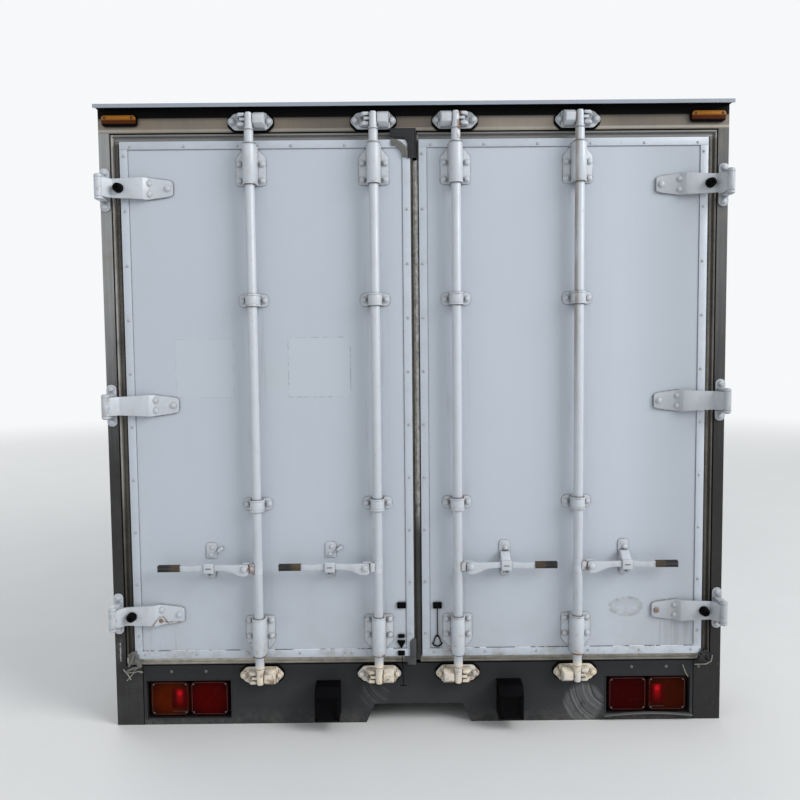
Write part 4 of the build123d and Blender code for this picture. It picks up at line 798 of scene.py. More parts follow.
def make_finishes(tones):
    """Makes every finish; the materials' names end in _finish."""
    for make in (door_skin, door_edge, header_steel, skirt_paint, sealant, panel_skin):
        make(tones)
    for make in (post_steel, seal_rubber, centre_lip, marker_lens, reflector, grip, fin_pack):
        make()
    white_hardware(tones, "white_hardware", grime=0.35, low_rust=1.0)
    white_hardware(tones, "keeper_paint", grime=0.8, low_rust=1.6)
    white_hardware(tones, "rod_paint", grime=0.22, low_rust=0.4)
    rubber(tones, "black_rubber", (0.0018, 0.0018, 0.0022), 0.004, 0.04)
    # The black seal and painted shade under the visor.
    rubber(tones, "lining", (0.002, 0.002, 0.002), 0.0)
    rubber(tones, "flap_rubber", (0.030, 0.030, 0.032), 0.15)
    rubber(tones, "split_rubber", (0.055, 0.057, 0.060), 0.25, 0.35)
    rubber(tones, "torn_rubber", (0.140, 0.137, 0.130), 0.30)
    rubber(tones, "bare_wire", (0.300, 0.285, 0.250), 0.4)
    lens(tones, "red_lens", (0.044, 0.0003, 0.0003), (0.002, 0.0, 0.0), RED_LENS_X)
    lens(tones, "amber_lens", (0.050, 0.0056, 0.0003), (0.002, 0.0002, 0.0), AMBER_LENS_X)
    worn_metal("aluminium_rail", (0.46, 0.47, 0.48), 0.6, 0.42, 0.35)
    # The visor sheet's tone is brightened and tinted blue with painted sky light.
    worn_metal("visor_sheet", (0.275, 0.310, 0.360), 0.1, 0.40, 0.25, (0.1, 1, 1))
    worn_metal("screw_steel", (0.40, 0.40, 0.40), 0.35, 0.45, 0.45)
    worn_metal("dull_screw", (0.110, 0.105, 0.100), 0.3, 0.55, 0.7)
    worn_metal("lamp_rim", (0.046, 0.021, 0.018), 0.0, 0.40, 0.5)
    worn_metal("worn_ledge", (0.16, 0.16, 0.155), 0.4, 0.50, 0.4)
    worn_metal("underframe_steel", (0.050, 0.050, 0.052), 0.3, 0.60, 0.5)
    worn_metal("floor_sheet", (0.40, 0.41, 0.42), 0.7, 0.40, 0.5, (1, 0.05, 1))
    plastic(tones, "black_plastic", (0.012, 0.012, 0.013), 0.45, 0.12)
    plastic(tones, "unit_shell", (0.60, 0.61, 0.61), 0.35, 0.25)
    plastic(tones, "fan_plastic", (0.020, 0.020, 0.021), 0.45, 0.20)


# Which finish each CAD node wears; the nodes that a modelled piece replaces are here too, for the record
NODE_FINISHES = {
    "floor_panel": "floor_sheet", "side_wall_right": "panel_skin", "side_wall_left": "panel_skin",
    "front_wall": "panel_skin", "roof_panel": "panel_skin", "edge_rails": "aluminium_rail",
    "cargo_rails": "aluminium_rail", "sills": "underframe_steel", "cross_members": "underframe_steel",
    "rear_posts": "post_steel", "rear_header": "header_steel", "rear_sill": "skirt_paint",
    "roof_visor": "visor_sheet", "lamp_boxes": "black_plastic", "red_lenses": "red_lens",
    "amber_lamps": "amber_lens", "dock_bumpers": "black_rubber", "hinge_brackets": "white_hardware",
    "keeper_pads": "black_rubber", "rod_keepers": "keeper_paint", "unit_frame": "underframe_steel",
    "unit_cover": "unit_shell", "fan_guards": "black_plastic", "condenser_coil": "fin_pack",
    "evaporator": "unit_shell", "fan_right": "fan_plastic", "fan_left": "fan_plastic",
}
LEAF_FINISHES = {
    "door_panel": "door_skin", "door_trim": "door_edge", "door_seal": "seal_rubber",
    "hinge_straps": "white_hardware", "door_stops": "black_rubber", "rod_guides": "white_hardware",
    "lock_rods": "rod_paint", "lock_handles": "white_hardware", "handle_catches": "white_hardware",
}


# Modelling


def select_only(*objects):
    """Leaves edit mode and selects just these objects, the first of them active."""
    active = bpy.context.view_layer.objects.active
    if active and active.mode != "OBJECT":
        bpy.ops.object.mode_set(mode="OBJECT")
    bpy.ops.object.select_all(action="DESELECT")
    for obj in objects:
        obj.select_set(True)
    if objects:
        bpy.context.view_layer.objects.active = objects[0]


def settle():
    """Moves the place of the new primitive into its mesh, and returns it."""
    bpy.ops.object.transform_apply(location=True, rotation=True, scale=True)
    return bpy.context.object


def pick(obj, kind, test=None):
    """Opens a piece for editing with only the faces, edges or vertices that pass the test selected."""
    select_only(obj)
    bpy.ops.object.mode_set(mode="EDIT")
    bpy.ops.mesh.select_mode(type=kind)
    bpy.ops.mesh.select_all(action="DESELECT" if test else "SELECT")
    if test:
        mesh = bmesh.from_edit_mesh(obj.data)
        for item in {"VERT": mesh.verts, "EDGE": mesh.edges, "FACE": mesh.faces}[kind]:
            item.select_set(bool(test(item)))
        mesh.select_flush_mode()
        bmesh.update_edit_mesh(obj.data)


def close(obj):
    """Leaves edit mode and returns the piece."""
    bpy.ops.object.mode_set(mode="OBJECT")
    return obj


def face_out(obj):
    """Turns every face outwards."""
    pick(obj, "FACE")
    bpy.ops.mesh.normals_make_consistent(inside=False)
    return close(obj)


def modify(obj, kind, **settings):
    """Adds a modifier with its settings and applies it."""
    select_only(obj)
    bpy.ops.object.modifier_add(type=kind)
    modifier = obj.modifiers[-1]
    for name, value in settings.items():
        setattr(modifier, name, value)
    bpy.ops.object.modifier_apply(modifier=modifier.name)
    return obj


def soften(obj, width, segments=2, angle=30):
    """Rounds the sharp edges of a piece and smooths its curved faces."""
    limit = math.radians(angle)
    modify(obj, "BEVEL", width=width, segments=segments, limit_method="ANGLE", angle_limit=limit)
    return smooth(obj)


def smooth(obj, angle=38):
    """Smooths the faces that meet at less than an angle."""
    select_only(obj)
    bpy.ops.object.shade_smooth_by_angle(angle=math.radians(angle))
    return obj


def corners(node):
    """The low and high corner of a solid's box."""
    low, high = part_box(node)
    return Vector(low), Vector(high)


def slab(low, high):
    """A block between two corners."""
    low, high = Vector(low), Vector(high)
    select_only()
    bpy.ops.mesh.primitive_cube_add(size=1, location=(low + high) / 2, scale=high - low)
    return settle()


def round_corners(obj, axis, radius, segments=5, where=None):
    """Rounds the edges that run along an axis."""
    index = "xyz".index(axis)

    def runs_along(edge):
        first, second = (vertex.co for vertex in edge.verts)
        way = second - first
        return abs(way[index]) > 0.99 * way.length and (where is None or where((first + second) / 2))

    pick(obj, "EDGE", runs_along)
    bpy.ops.mesh.bevel(offset=radius, segments=segments, affect="EDGES")
    return close(obj)


def cut_off(obj, point, normal):
    """Cuts away what lies beyond a plane, on the side its normal points to."""
    pick(obj, "FACE")
    bpy.ops.mesh.bisect(plane_co=point, plane_no=normal, use_fill=True, clear_outer=True)
    return close(obj)


def carved(obj, tool):
    """Takes one piece out of another and uses it up."""
    modify(obj, "BOOLEAN", object=tool, operation="DIFFERENCE")
    bpy.data.objects.remove(tool)
    return obj


def turned(place, axis, rows, sides=24):
    """A turned form: rows of (distance along the axis, radius), from a disc drawn out and resized."""
    place = Vector(place)
    way = AXES[axis]
    select_only()
    start, radius = rows[0]
    bpy.ops.mesh.primitive_circle_add(
        vertices=sides, radius=radius, fill_type="NGON", location=place + way * start, rotation=FACING[axis]
    )
    obj = settle()
    pick(obj, "FACE")
    for (start, radius), (end, next_radius) in zip(rows, rows[1:]):
        bpy.ops.mesh.extrude_region_move(TRANSFORM_OT_translate={"value": way * (end - start)})
        if next_radius != radius:
            ratio = next_radius / radius
            bpy.ops.transform.resize(value=(ratio,) * 3, center_override=place + way * end)
    return smooth(face_out(close(obj)))


def hoop(centre, radius, wire, sides, wire_sides):
    """A ring of round wire that lies in the XZ plane."""
    select_only()
    bpy.ops.mesh.primitive_torus_add(
        major_segments=sides, minor_segments=wire_sides, major_radius=radius, minor_radius=wire,
        location=centre, rotation=FACING["y"],
    )
    return settle()


def strip(rows, outward, thickness):
    """Sheet bent along a path in plan: rows of (x, y, low z, high z), given its thickness inwards."""
    x, y, low, high = rows[0]
    size = high - low
    select_only()
    bpy.ops.mesh.primitive_plane_add(
        size=size, location=(x + size / 2, y, (low + high) / 2), rotation=FACING["y"]
    )
    obj = settle()
    pick(obj, "VERT", lambda vertex: vertex.co.x > x + 1e-5)
    bpy.ops.mesh.delete(type="VERT")
    bpy.ops.mesh.select_all(action="SELECT")
    for (x, y, low, high), (nx, ny, nlow, nhigh) in zip(rows, rows[1:]):
        shift = (nx - x, ny - y, (nlow + nhigh - low - high) / 2)
        bpy.ops.mesh.extrude_region_move(TRANSFORM_OT_translate={"value": shift})
        ratio = (nhigh - nlow) / (high - low)
        bpy.ops.transform.resize(value=(1, 1, ratio), center_override=(nx, ny, (nlow + nhigh) / 2))
    bpy.ops.mesh.select_all(action="SELECT")
    bpy.ops.mesh.normals_make_consistent(inside=False)
    close(obj)
    if obj.data.polygons[0].normal.dot(Vector(outward)) < 0:
        pick(obj, "FACE")
        bpy.ops.mesh.flip_normals()
        close(obj)
    return modify(obj, "SOLIDIFY", thickness=thickness, offset=-1, use_even_offset=True)


def opened(obj, width):
    """Makes a frame of a block, by insetting its front and back and bridging them."""
    pick(obj, "FACE", lambda face: abs(face.normal.y) > 0.9)
    bpy.ops.mesh.inset(thickness=width, use_even_offset=True)
    bpy.ops.mesh.bridge_edge_loops()
    return face_out(close(obj))


def join(objects):
    """Makes one object of several."""
    select_only(*objects)
    if len(objects) > 1:
        bpy.ops.object.join()
    return bpy.context.object


def copied(obj, change):
    """A copy of a piece with its own mesh, moved or mirrored by a matrix."""
    copy = obj.copy()
    copy.data = obj.data.copy()
    copy.data.transform(change)
    bpy.context.scene.collection.objects.link(copy)
    return copy


def placed(obj, places):
    """One object with a copy of the piece at each place, the piece itself used up."""
    copies = [copied(obj, Matrix.Translation(place)) for place in places]
    bpy.data.objects.remove(obj)
    return join(copies)


def twin(obj):
    """The mirror image of a piece on the other side of the body."""
    return face_out(copied(obj, Matrix.Scale(-1, 4, AXES["x"])))


def both(obj):
    """A piece and its mirror image as one."""
    return join([obj, twin(obj)])


def mirrored(obj):
    """The mirror image alone, the piece itself used up."""
    image = twin(obj)
    bpy.data.objects.remove(obj)
    return image


def moved(obj, way):
    """Moves a piece, in its mesh."""
    obj.data.transform(Matrix.Translation(way))
    return obj


def tilted(obj, axis, degrees, centre):
    """Turns a piece about an axis through a point, in its mesh."""
    centre = Vector(centre)
    turn = Matrix.Rotation(math.radians(degrees), 4, AXES[axis])
    obj.data.transform(Matrix.Translation(centre) @ turn @ Matrix.Translation(-centre))
    return obj


def bolt(radius, height):
    """A domed bolt head on its washer, at the origin and pointing to -Y."""
    return turned(ORIGIN, "y", [
        (0, radius * 1.4), (-0.0014, radius * 1.4), (-0.0022, radius * 1.02), (-height * 0.72, radius * 0.96),
        (-height * 0.94, radius * 0.74), (-height, radius * 0.36),
    ], 16)


def dress(obj, name, finish, body, slot, *nodes):
    """Names a piece, gives it its finish, and hangs it on a body in place of CAD nodes. The slot is not used.
    """
    obj.name = obj.data.name = name
    obj.data.materials.clear()
    obj.data.materials.append(bpy.data.materials[f"{finish}_finish"])
    for polygon in obj.data.polygons:
        polygon.material_index = 0
    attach(obj, body)
    if nodes:
        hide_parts(*nodes)
    return obj


def dress_leaves(right, left, name, finish, slot, *nodes):
    """Hangs a piece on each leaf."""
    for piece, side in ((right, "right"), (left, "left")):
        dress(piece, f"{name}_{side}", finish, f"door_{side}", slot, *[f"{node}_{side}" for node in nodes])


def dress_pair(obj, name, finish, slot, *nodes):
    """Hangs a piece on the right leaf and its twin on the left one."""
    dress_leaves(obj, twin(obj), name, finish, slot, *nodes)


def spaced(low, high, pitch):
    """Evenly spaced places from low to high, as near the pitch as fits."""
    steps = max(1, round((high - low) / pitch))
    return [low + (high - low) * i / steps for i in range(steps + 1)]


# Camera, light and finishes


class TRUCK_OT_stage(bpy.types.Operator):
    """Sets up the photograph's camera, the pale floor and the soft light."""

    bl_idname = "truck.stage"
    bl_label = "Stage"

    def execute(self, context):
        self.camera(context.scene)
        self.world(context.scene)
        self.floor()
        for name, settings in LAMPS.items():
            self.lamp(name, *settings)
        context.scene.view_settings.view_transform = "Standard"
        return {"FINISHED"}

    def camera(self, scene):
        """Stands where the photograph was taken from."""
        data = bpy.data.cameras.new("camera")
        camera = bpy.data.objects.new("camera", data)
        scene.collection.objects.link(camera)
        data.sensor_width = SENSOR
        data.lens = SENSOR * FOCAL_PIXELS / IMAGE_WIDTH
        data.clip_end = 200
        camera.location = (CAMERA_X, REAR - CAMERA_DISTANCE, CAMERA_Z)
        turn = Euler((math.pi / 2 - CAMERA_PITCH, 0, -CAMERA_YAW)).to_matrix()
        camera.rotation_euler = (turn @ Matrix.Rotation(CAMERA_ROLL, 3, "Z")).to_euler()
        scene.camera = camera

    def world(self, scene):
        """A soft bluish sky, which shows as the plain backdrop."""
        world = bpy.data.worlds.new("sky")
        world.use_nodes = True
        nodes, links = world.node_tree.nodes, world.node_tree.links
        nodes.clear()
        rays = nodes.new("ShaderNodeLightPath")
        seen = rays.outputs[SHOWING_RAYS[0]]
        for kind in SHOWING_RAYS[1:]:
            either = nodes.new("ShaderNodeMath")
            either.operation = "MAXIMUM"
            links.new(seen, either.inputs[0])
            links.new(rays.outputs[kind], either.inputs[1])
            seen = either.outputs[0]
        light = nodes.new("ShaderNodeBackground")
        light.inputs["Color"].default_value = (0.92, 0.96, 1.0, 1)
        light.inputs["Strength"].default_value = 0.66
        backdrop = nodes.new("ShaderNodeBackground")
        backdrop.inputs["Color"].default_value = rgba(BACKDROP)
        backdrop.inputs["Strength"].default_value = 1.0
        mix = nodes.new("ShaderNodeMixShader")
        output = nodes.new("ShaderNodeOutputWorld")
        links.new(seen, mix.inputs[0])
        links.new(light.outputs[0], mix.inputs[1])
        links.new(backdrop.outputs[0], mix.inputs[2])
        links.new(mix.outputs[0], output.inputs["Surface"])
        scene.world = world

    def floor(self):
        """A pale floor that keeps the shadow."""
        select_only()
        bpy.ops.mesh.primitive_plane_add(size=120, location=ORIGIN)
        floor = settle()
        floor.name = floor.data.name = "studio_floor"
        paint = Paint("studio_floor")
        colour = paint.shade((0.66, 0.66, 0.655), 0.97 + 0.06 * paint.noise(3.0, 4))
        paint.fading_floor(colour, 5.0, 12.0)
        floor.data.materials.append(paint.material)

    def lamp(self, name, place, target, size, power):
        """A round lamp that is turned to its target."""
        data = bpy.data.lights.new(name, "AREA")
        data.shape = "DISK"
        data.size = size
        data.energy = power
        lamp = bpy.data.objects.new(name, data)
        lamp.location = place
        lamp.rotation_euler = (Vector(target) - Vector(place)).to_track_quat("-Z", "Y").to_euler()
        bpy.context.scene.collection.objects.link(lamp)


class TRUCK_OT_finishes(bpy.types.Operator):
    """Makes every finish and gives each CAD node its own."""

    bl_idname = "truck.finishes"
    bl_label = "Finishes"

    def execute(self, context):
        make_finishes(context.scene.truck_finish)
        wanted = dict(NODE_FINISHES)
        for side in ("right", "left"):
            wanted.update({f"{node}_{side}": finish for node, finish in LEAF_FINISHES.items()})
        for name, node in NODES.items():
            material = bpy.data.materials[f"{wanted[name]}_finish"]
            if not node.material_slots:
                node.data.materials.append(material)
            for slot in node.material_slots:
                slot.material = material
        return {"FINISHED"}


# Hinges


class TRUCK_OT_hinges(bpy.types.Operator):
    """Pressed strap hinges with their bolts, the brackets on the posts and the rubber stops."""

    bl_idname = "truck.hinges"
    bl_label = "Hinges"

    def execute(self, context):
        bolt_radius = context.scene.truck_fittings.bolt_radius
        straps = placed(self.strap(bolt_radius), [(0, 0, level) for level in HINGE_LEVELS])
        dress_pair(straps, "strap_hinges", "white_hardware", "white_hardware", "hinge_straps")
        brackets = placed(self.bracket(bolt_radius), [(0, 0, level) for level in HINGE_LEVELS])
        dress(both(brackets), "hinge_posts", "white_hardware", "body", "white_hardware", "hinge_brackets")
        stops = placed(self.stop(), [(0, 0, level) for level in STOP_LEVELS])
        dress_pair(stops, "rubber_stops", "black_rubber", "black_rubber", "door_stops")
        return {"FINISHED"}

    def strap(self, bolt_radius):
        """One strap about z = 0: rolled knuckle, raised flat, pressed step and rounded tip."""
        foot_front = SKIN - STRAP_THICKNESS
        foot = PIN_X - 0.163
        tip = STRAP_TIP
        outline = [
            (PIN_X + 0.004, PIN_Y - KNUCKLE, 0.0325), (PIN_X - 0.006, PIN_Y - KNUCKLE + 0.0010, 0.0330),
            (PIN_X - 0.038, STRAP_FRONT - 0.0015, 0.0332), (PIN_X - 0.045, STRAP_FRONT, 0.0336),
            (PIN_X - 0.100, STRAP_FRONT, 0.0360), (PIN_X - 0.142, STRAP_FRONT, 0.0384),
            (PIN_X - 0.147, STRAP_FRONT + 0.0024, 0.0385), (PIN_X - 0.159, foot_front - 0.0020, 0.0384),
            (foot, foot_front, 0.0378), (tip + 0.018, foot_front, 0.0290),
            (tip + 0.007, foot_front, 0.0262), (tip + 0.001, foot_front, 0.0220), (tip, foot_front, 0.0165),
        ]
        sheet = strip([(x, y, -half, half) for x, y, half in outline], (0, -1, 0), STRAP_THICKNESS * 0.9)
        soften(sheet, 0.0016, 2)
        barrel = turned((PIN_X, PIN_Y, 0), "z", [
            (-STRAP_HALF, KNUCKLE - 0.0012), (-STRAP_HALF + 0.0012, KNUCKLE),
            (STRAP_HALF - 0.0012, KNUCKLE), (STRAP_HALF, KNUCKLE - 0.0012),
        ])
        heads = placed(bolt(bolt_radius, 0.0065), [
            (foot, foot_front, 0.0185), (foot, foot_front, -0.0185), (tip + 0.018, foot_front, 0),
        ])
        return join([sheet, barrel, heads])

    def bracket(self, bolt_radius):
        """One bracket about z = 0: round-ended plate, two ears, the pin's heads and two bolts."""
        plate_front = REAR - 0.006
        inside, outside = STRAP_HALF + 0.0003, STRAP_HALF + 0.0093
        plate = slab((PIN_X - 0.018, plate_front, -0.076), (PIN_X + 0.018, REAR, 0.076))
        round_corners(plate, "y", 0.0165, 6)
        parts = [soften(plate, 0.0012)]
        for side in (-1, 1):
            near, far = sorted((side * inside, side * outside))
            parts.append(turned((PIN_X, PIN_Y, 0), "z", [
                (near, KNUCKLE - 0.001), (near + 0.001, KNUCKLE),
                (far - 0.001, KNUCKLE), (far, KNUCKLE - 0.001),
            ]))
            web = slab((PIN_X - KNUCKLE, PIN_Y, near), (PIN_X + KNUCKLE, plate_front + 0.001, far))
            parts.append(soften(web, 0.0015))
            parts.append(turned((PIN_X, PIN_Y, side * outside), "z", [
                (0, 0.0105), (side * 0.0022, 0.0100), (side * 0.0038, 0.0070), (side * 0.0040, 0.0020),
            ], 16))
        bolts = placed(bolt(bolt_radius, 0.0075), [(PIN_X, plate_front, 0.060), (PIN_X, plate_front, -0.060)])
        return join(parts + [bolts])

    def stop(self):
        """One rubber stop: a short cone with a domed end and a recess round its screw."""
        return turned((PIN_X - 0.061, STRAP_FRONT, 0), "y", [
            (0, 0.0168), (-0.0020, 0.0172), (-0.0210, 0.0156), (-0.0255, 0.0136), (-0.0276, 0.0100),
            (-0.0280, 0.0062), (-0.0215, 0.0052), (-0.0210, 0.0010),
        ], 32)


# Lock rods


class TRUCK_OT_lock_rods(bpy.types.Operator):
    """Lock rods with their seams, collars, cams and lugs, in their bell-shaped guides and short saddles."""

    bl_idname = "truck.lock_rods"
    bl_label = "Lock Rods"

    def execute(self, context):
        bolt_radius = context.scene.truck_fittings.bolt_radius
        places = [(x, 0, 0) for x in ROD_XS]
        dress_pair(placed(self.rod(), places), "bar_rods", "rod_paint", "white_hardware", "lock_rods")
        lower = placed(self.guide(bolt_radius), places)
        flip = Matrix.Translation((0, 0, LEAF_LOW.z + LEAF_HIGH.z)) @ Matrix.Scale(-1, 4, AXES["z"])
        upper = face_out(copied(lower, flip))
        saddles = placed(self.saddle(bolt_radius), [(x, 0, level) for x in ROD_XS for level in SADDLE_LEVELS])
        guides = join([lower, upper, saddles])
        dress_pair(guides, "bell_guides", "white_hardware", "white_hardware", "rod_guides")
        return {"FINISHED"}

    def rod(self):
        """One rod about x = 0, turned from its lower tip to its upper one, with the forged ends' noses."""
        low, high = KEEPER_LEVELS
        end_half, tip = 0.033, 0.022
        neck_low = LEAF_LOW.z + GUIDE_START
        neck_high = LEAF_HIGH.z - GUIDE_START
        # Distance from the middle of the cam towards the middle of the rod, and radius
        end = [
            (-tip, ROD_END - 0.0025), (-tip + 0.002, ROD_END - 0.0005), (-tip + 0.005, ROD_END),
            (end_half - 0.004, ROD_END + 0.0008), (end_half - 0.001, ROD_END + 0.0034),
            (end_half + 0.003, ROD_END + 0.0034), (end_half + 0.0045, ROD_END + 0.0006),
            (end_half + 0.0065, ROD_END + 0.0006), (end_half + 0.008, COLLAR),
        ]
        rows = [(low + inward, radius) for inward, radius in end]
        rows += [(neck_low - 0.002, COLLAR), (neck_low, ROD_RADIUS)]
        rows += [(neck_high, ROD_RADIUS), (neck_high + 0.002, COLLAR)]
        rows += [(high - inward, radius) for inward, radius in reversed(end)]
        parts = [turned((0, ROD_Y, 0), "z", rows, 32)]
        for level in KEEPER_LEVELS:
            nose = slab((-0.036, ROD_Y, level - 0.009), (0, ROD_Y + 0.013, level + 0.009))
            lug = slab((0, ROD_Y, level - 0.005), (0.032, ROD_Y + 0.013, level + 0.005))
            parts += [soften(nose, 0.003), soften(lug, 0.0015)]
        return join(parts)

    def hat(self, low, high, radius, thickness):
        """The bent sheet round the rod, about x = 0, its feet on the skin and its rims softened."""
        arc = [math.pi * i / 12 for i in range(13)]
        path = [(-radius - 0.003, SKIN), (-radius, ROD_Y + 0.016)]
        path += [(-radius * math.cos(turn), ROD_Y - radius * math.sin(turn)) for turn in arc]
        path += [(radius, ROD_Y + 0.016), (radius + 0.003, SKIN)]
        return soften(strip([(x, y, low, high) for x, y in path], (-1, 0, 0), thickness), 0.0009, 2, 50)

    def flange(self, low, high, narrow):
        """The bolted plate under a guide, narrowed below the level called narrow."""
        plate = slab((-GUIDE_HALF_WIDTH, SKIN - GUIDE_PLATE, low), (GUIDE_HALF_WIDTH, SKIN, high))
        for side in (-1, 1):
            slope = Vector((side * (narrow - low), 0, GUIDE_RADIUS - GUIDE_HALF_WIDTH))
            cut_off(plate, (side * GUIDE_HALF_WIDTH, SKIN, narrow), slope)
        round_corners(plate, "y", 0.009, 4, lambda middle: middle.z > high - 0.02)
        return soften(plate, 0.0014)

    def guide(self, bolt_radius):
        """The lower guide about x = 0; the upper one is its mirror image."""
        edge = LEAF_LOW.z + TRIM_WIDTH
        top = LEAF_LOW.z + GUIDE_END
        start = LEAF_LOW.z + GUIDE_START
        tube = self.hat(start, top, GUIDE_RADIUS, GUIDE_SHEET)
        rim = self.hat(top - 0.004, top + 0.0015, GUIDE_RADIUS + 0.0012, 0.0065)
        foot_rim = self.hat(start - 0.001, start + 0.004, GUIDE_RADIUS + 0.0010, 0.0060)
        plate = self.flange(edge, top, edge + 0.035)
        places = [(x, SKIN - GUIDE_PLATE, z) for x in (-0.041, 0.041) for z in (top - 0.016, top - 0.075)]
        return join([tube, rim, foot_rim, plate, placed(bolt(bolt_radius, 0.0085), places)])

    def saddle(self, bolt_radius):
        """One short saddle about x = 0 and z = 0, with two bolts."""
        tube = self.hat(-0.0215, 0.0215, GUIDE_RADIUS, GUIDE_SHEET)
        rims = [self.hat(z - 0.003, z + 0.003, GUIDE_RADIUS + 0.0016, 0.0065) for z in (-0.0185, 0.0185)]
        plate = slab((-GUIDE_HALF_WIDTH, SKIN - GUIDE_PLATE, -0.022), (GUIDE_HALF_WIDTH, SKIN, 0.022))
        round_corners(plate, "y", 0.016, 5)
        soften(plate, 0.0014)
        places = [(x, SKIN - GUIDE_PLATE, 0) for x in (-0.040, 0.040)]
        return join([tube, plate, placed(bolt(bolt_radius, 0.0085), places)] + rims)


class TRUCK_OT_keepers(bpy.types.Operator):
    """Cast keepers on rubber pads: a slotted block for the cam, a ribbed horn and two bolted ears."""

    bl_idname = "truck.keepers"
    bl_label = "Keepers"

    # How far the pad, the base plate and the cam block reach out from the frame
    pad = 0.006
    plate = 0.013
    block = 0.056
    # Half the size of the base plate, and where the horns and their web start
    half_height = 0.029
    half_width = 0.0775
    horn_start = 0.0148

    def execute(self, context):
        places = [(x, REAR, level) for x in ROD_XS for level in KEEPER_LEVELS]
        pads = placed(self.base(0, self.pad, 0.0050), places)
        dress(both(pads), "rubber_pads", "black_rubber", "body", "black_rubber", "keeper_pads")
        castings = placed(self.casting(context.scene.truck_fittings.bolt_radius), places)
        dress(both(castings), "cast_keepers", "keeper_paint", "body", "white_hardware", "rod_keepers")
        return {"FINISHED"}

    def base(self, near, far, extra):
        """A lozenge-shaped plate between two distances from the frame, about x = 0 and z = 0."""
        across, up = self.half_width + extra, self.half_height + extra
        plate = slab((-across, -far, -up), (across, -near, up))
        round_corners(plate, "y", 0.0205, 1)
        round_corners(plate, "y", 0.0060, 3)
        return soften(plate, 0.0014)

    def casting(self, bolt_radius):
        """One casting about x = 0 and z = 0, its back at y = 0: block, foot, horns, web and bolted ears."""
        back = -self.plate
        parts = [self.base(self.pad, self.plate, 0)]
        for end in (-0.0655, 0.0655):
            parts.append(turned((end, 0, 0), "y", [
                (-0.012, 0.0150), (-0.0165, 0.0142), (-0.0180, 0.0128), (-0.0180, bolt_radius * 1.15),
                (-0.0235, bolt_radius * 1.05), (-0.0255, bolt_radius * 0.75), (-0.0262, bolt_radius * 0.35),
            ]))
        block = slab((-0.054, -self.block, -0.026), (-self.horn_start, back + 0.001, 0.026))
        carved(block, slab((-0.038, ROD_Y - REAR - 0.002, -0.011), (-self.horn_start + 0.001, back, 0.011)))
        for side in (-1, 1):
            cut_off(block, (0, -self.block, side * 0.0135), (0, -0.55, side * 0.835))
        cut_off(block, (-0.049, -self.block, 0), (-0.90, -0.44, 0))
        parts.append(soften(block, 0.0016))
        foot = slab((-0.0605, -0.022, -0.0285), (-0.046, back, 0.0285))
        parts.append(soften(foot, 0.004))
        for level in (-0.0165, 0.0165):
            horn = slab((self.horn_start, -0.048, level - 0.0062), (0.0455, back, level + 0.0062))
            cut_off(horn, (0.0455, -0.036, level), (0.8, -0.6, 0))
            parts.append(soften(horn, 0.0026))
        web = slab((self.horn_start, -0.030, -0.013), (0.036, back, 0.013))
        cut_off(web, (0.036, -0.022, 0), (0.7, -0.7, 0))
        parts.append(soften(web, 0.0020))
        return join(parts)


# Handles and catches


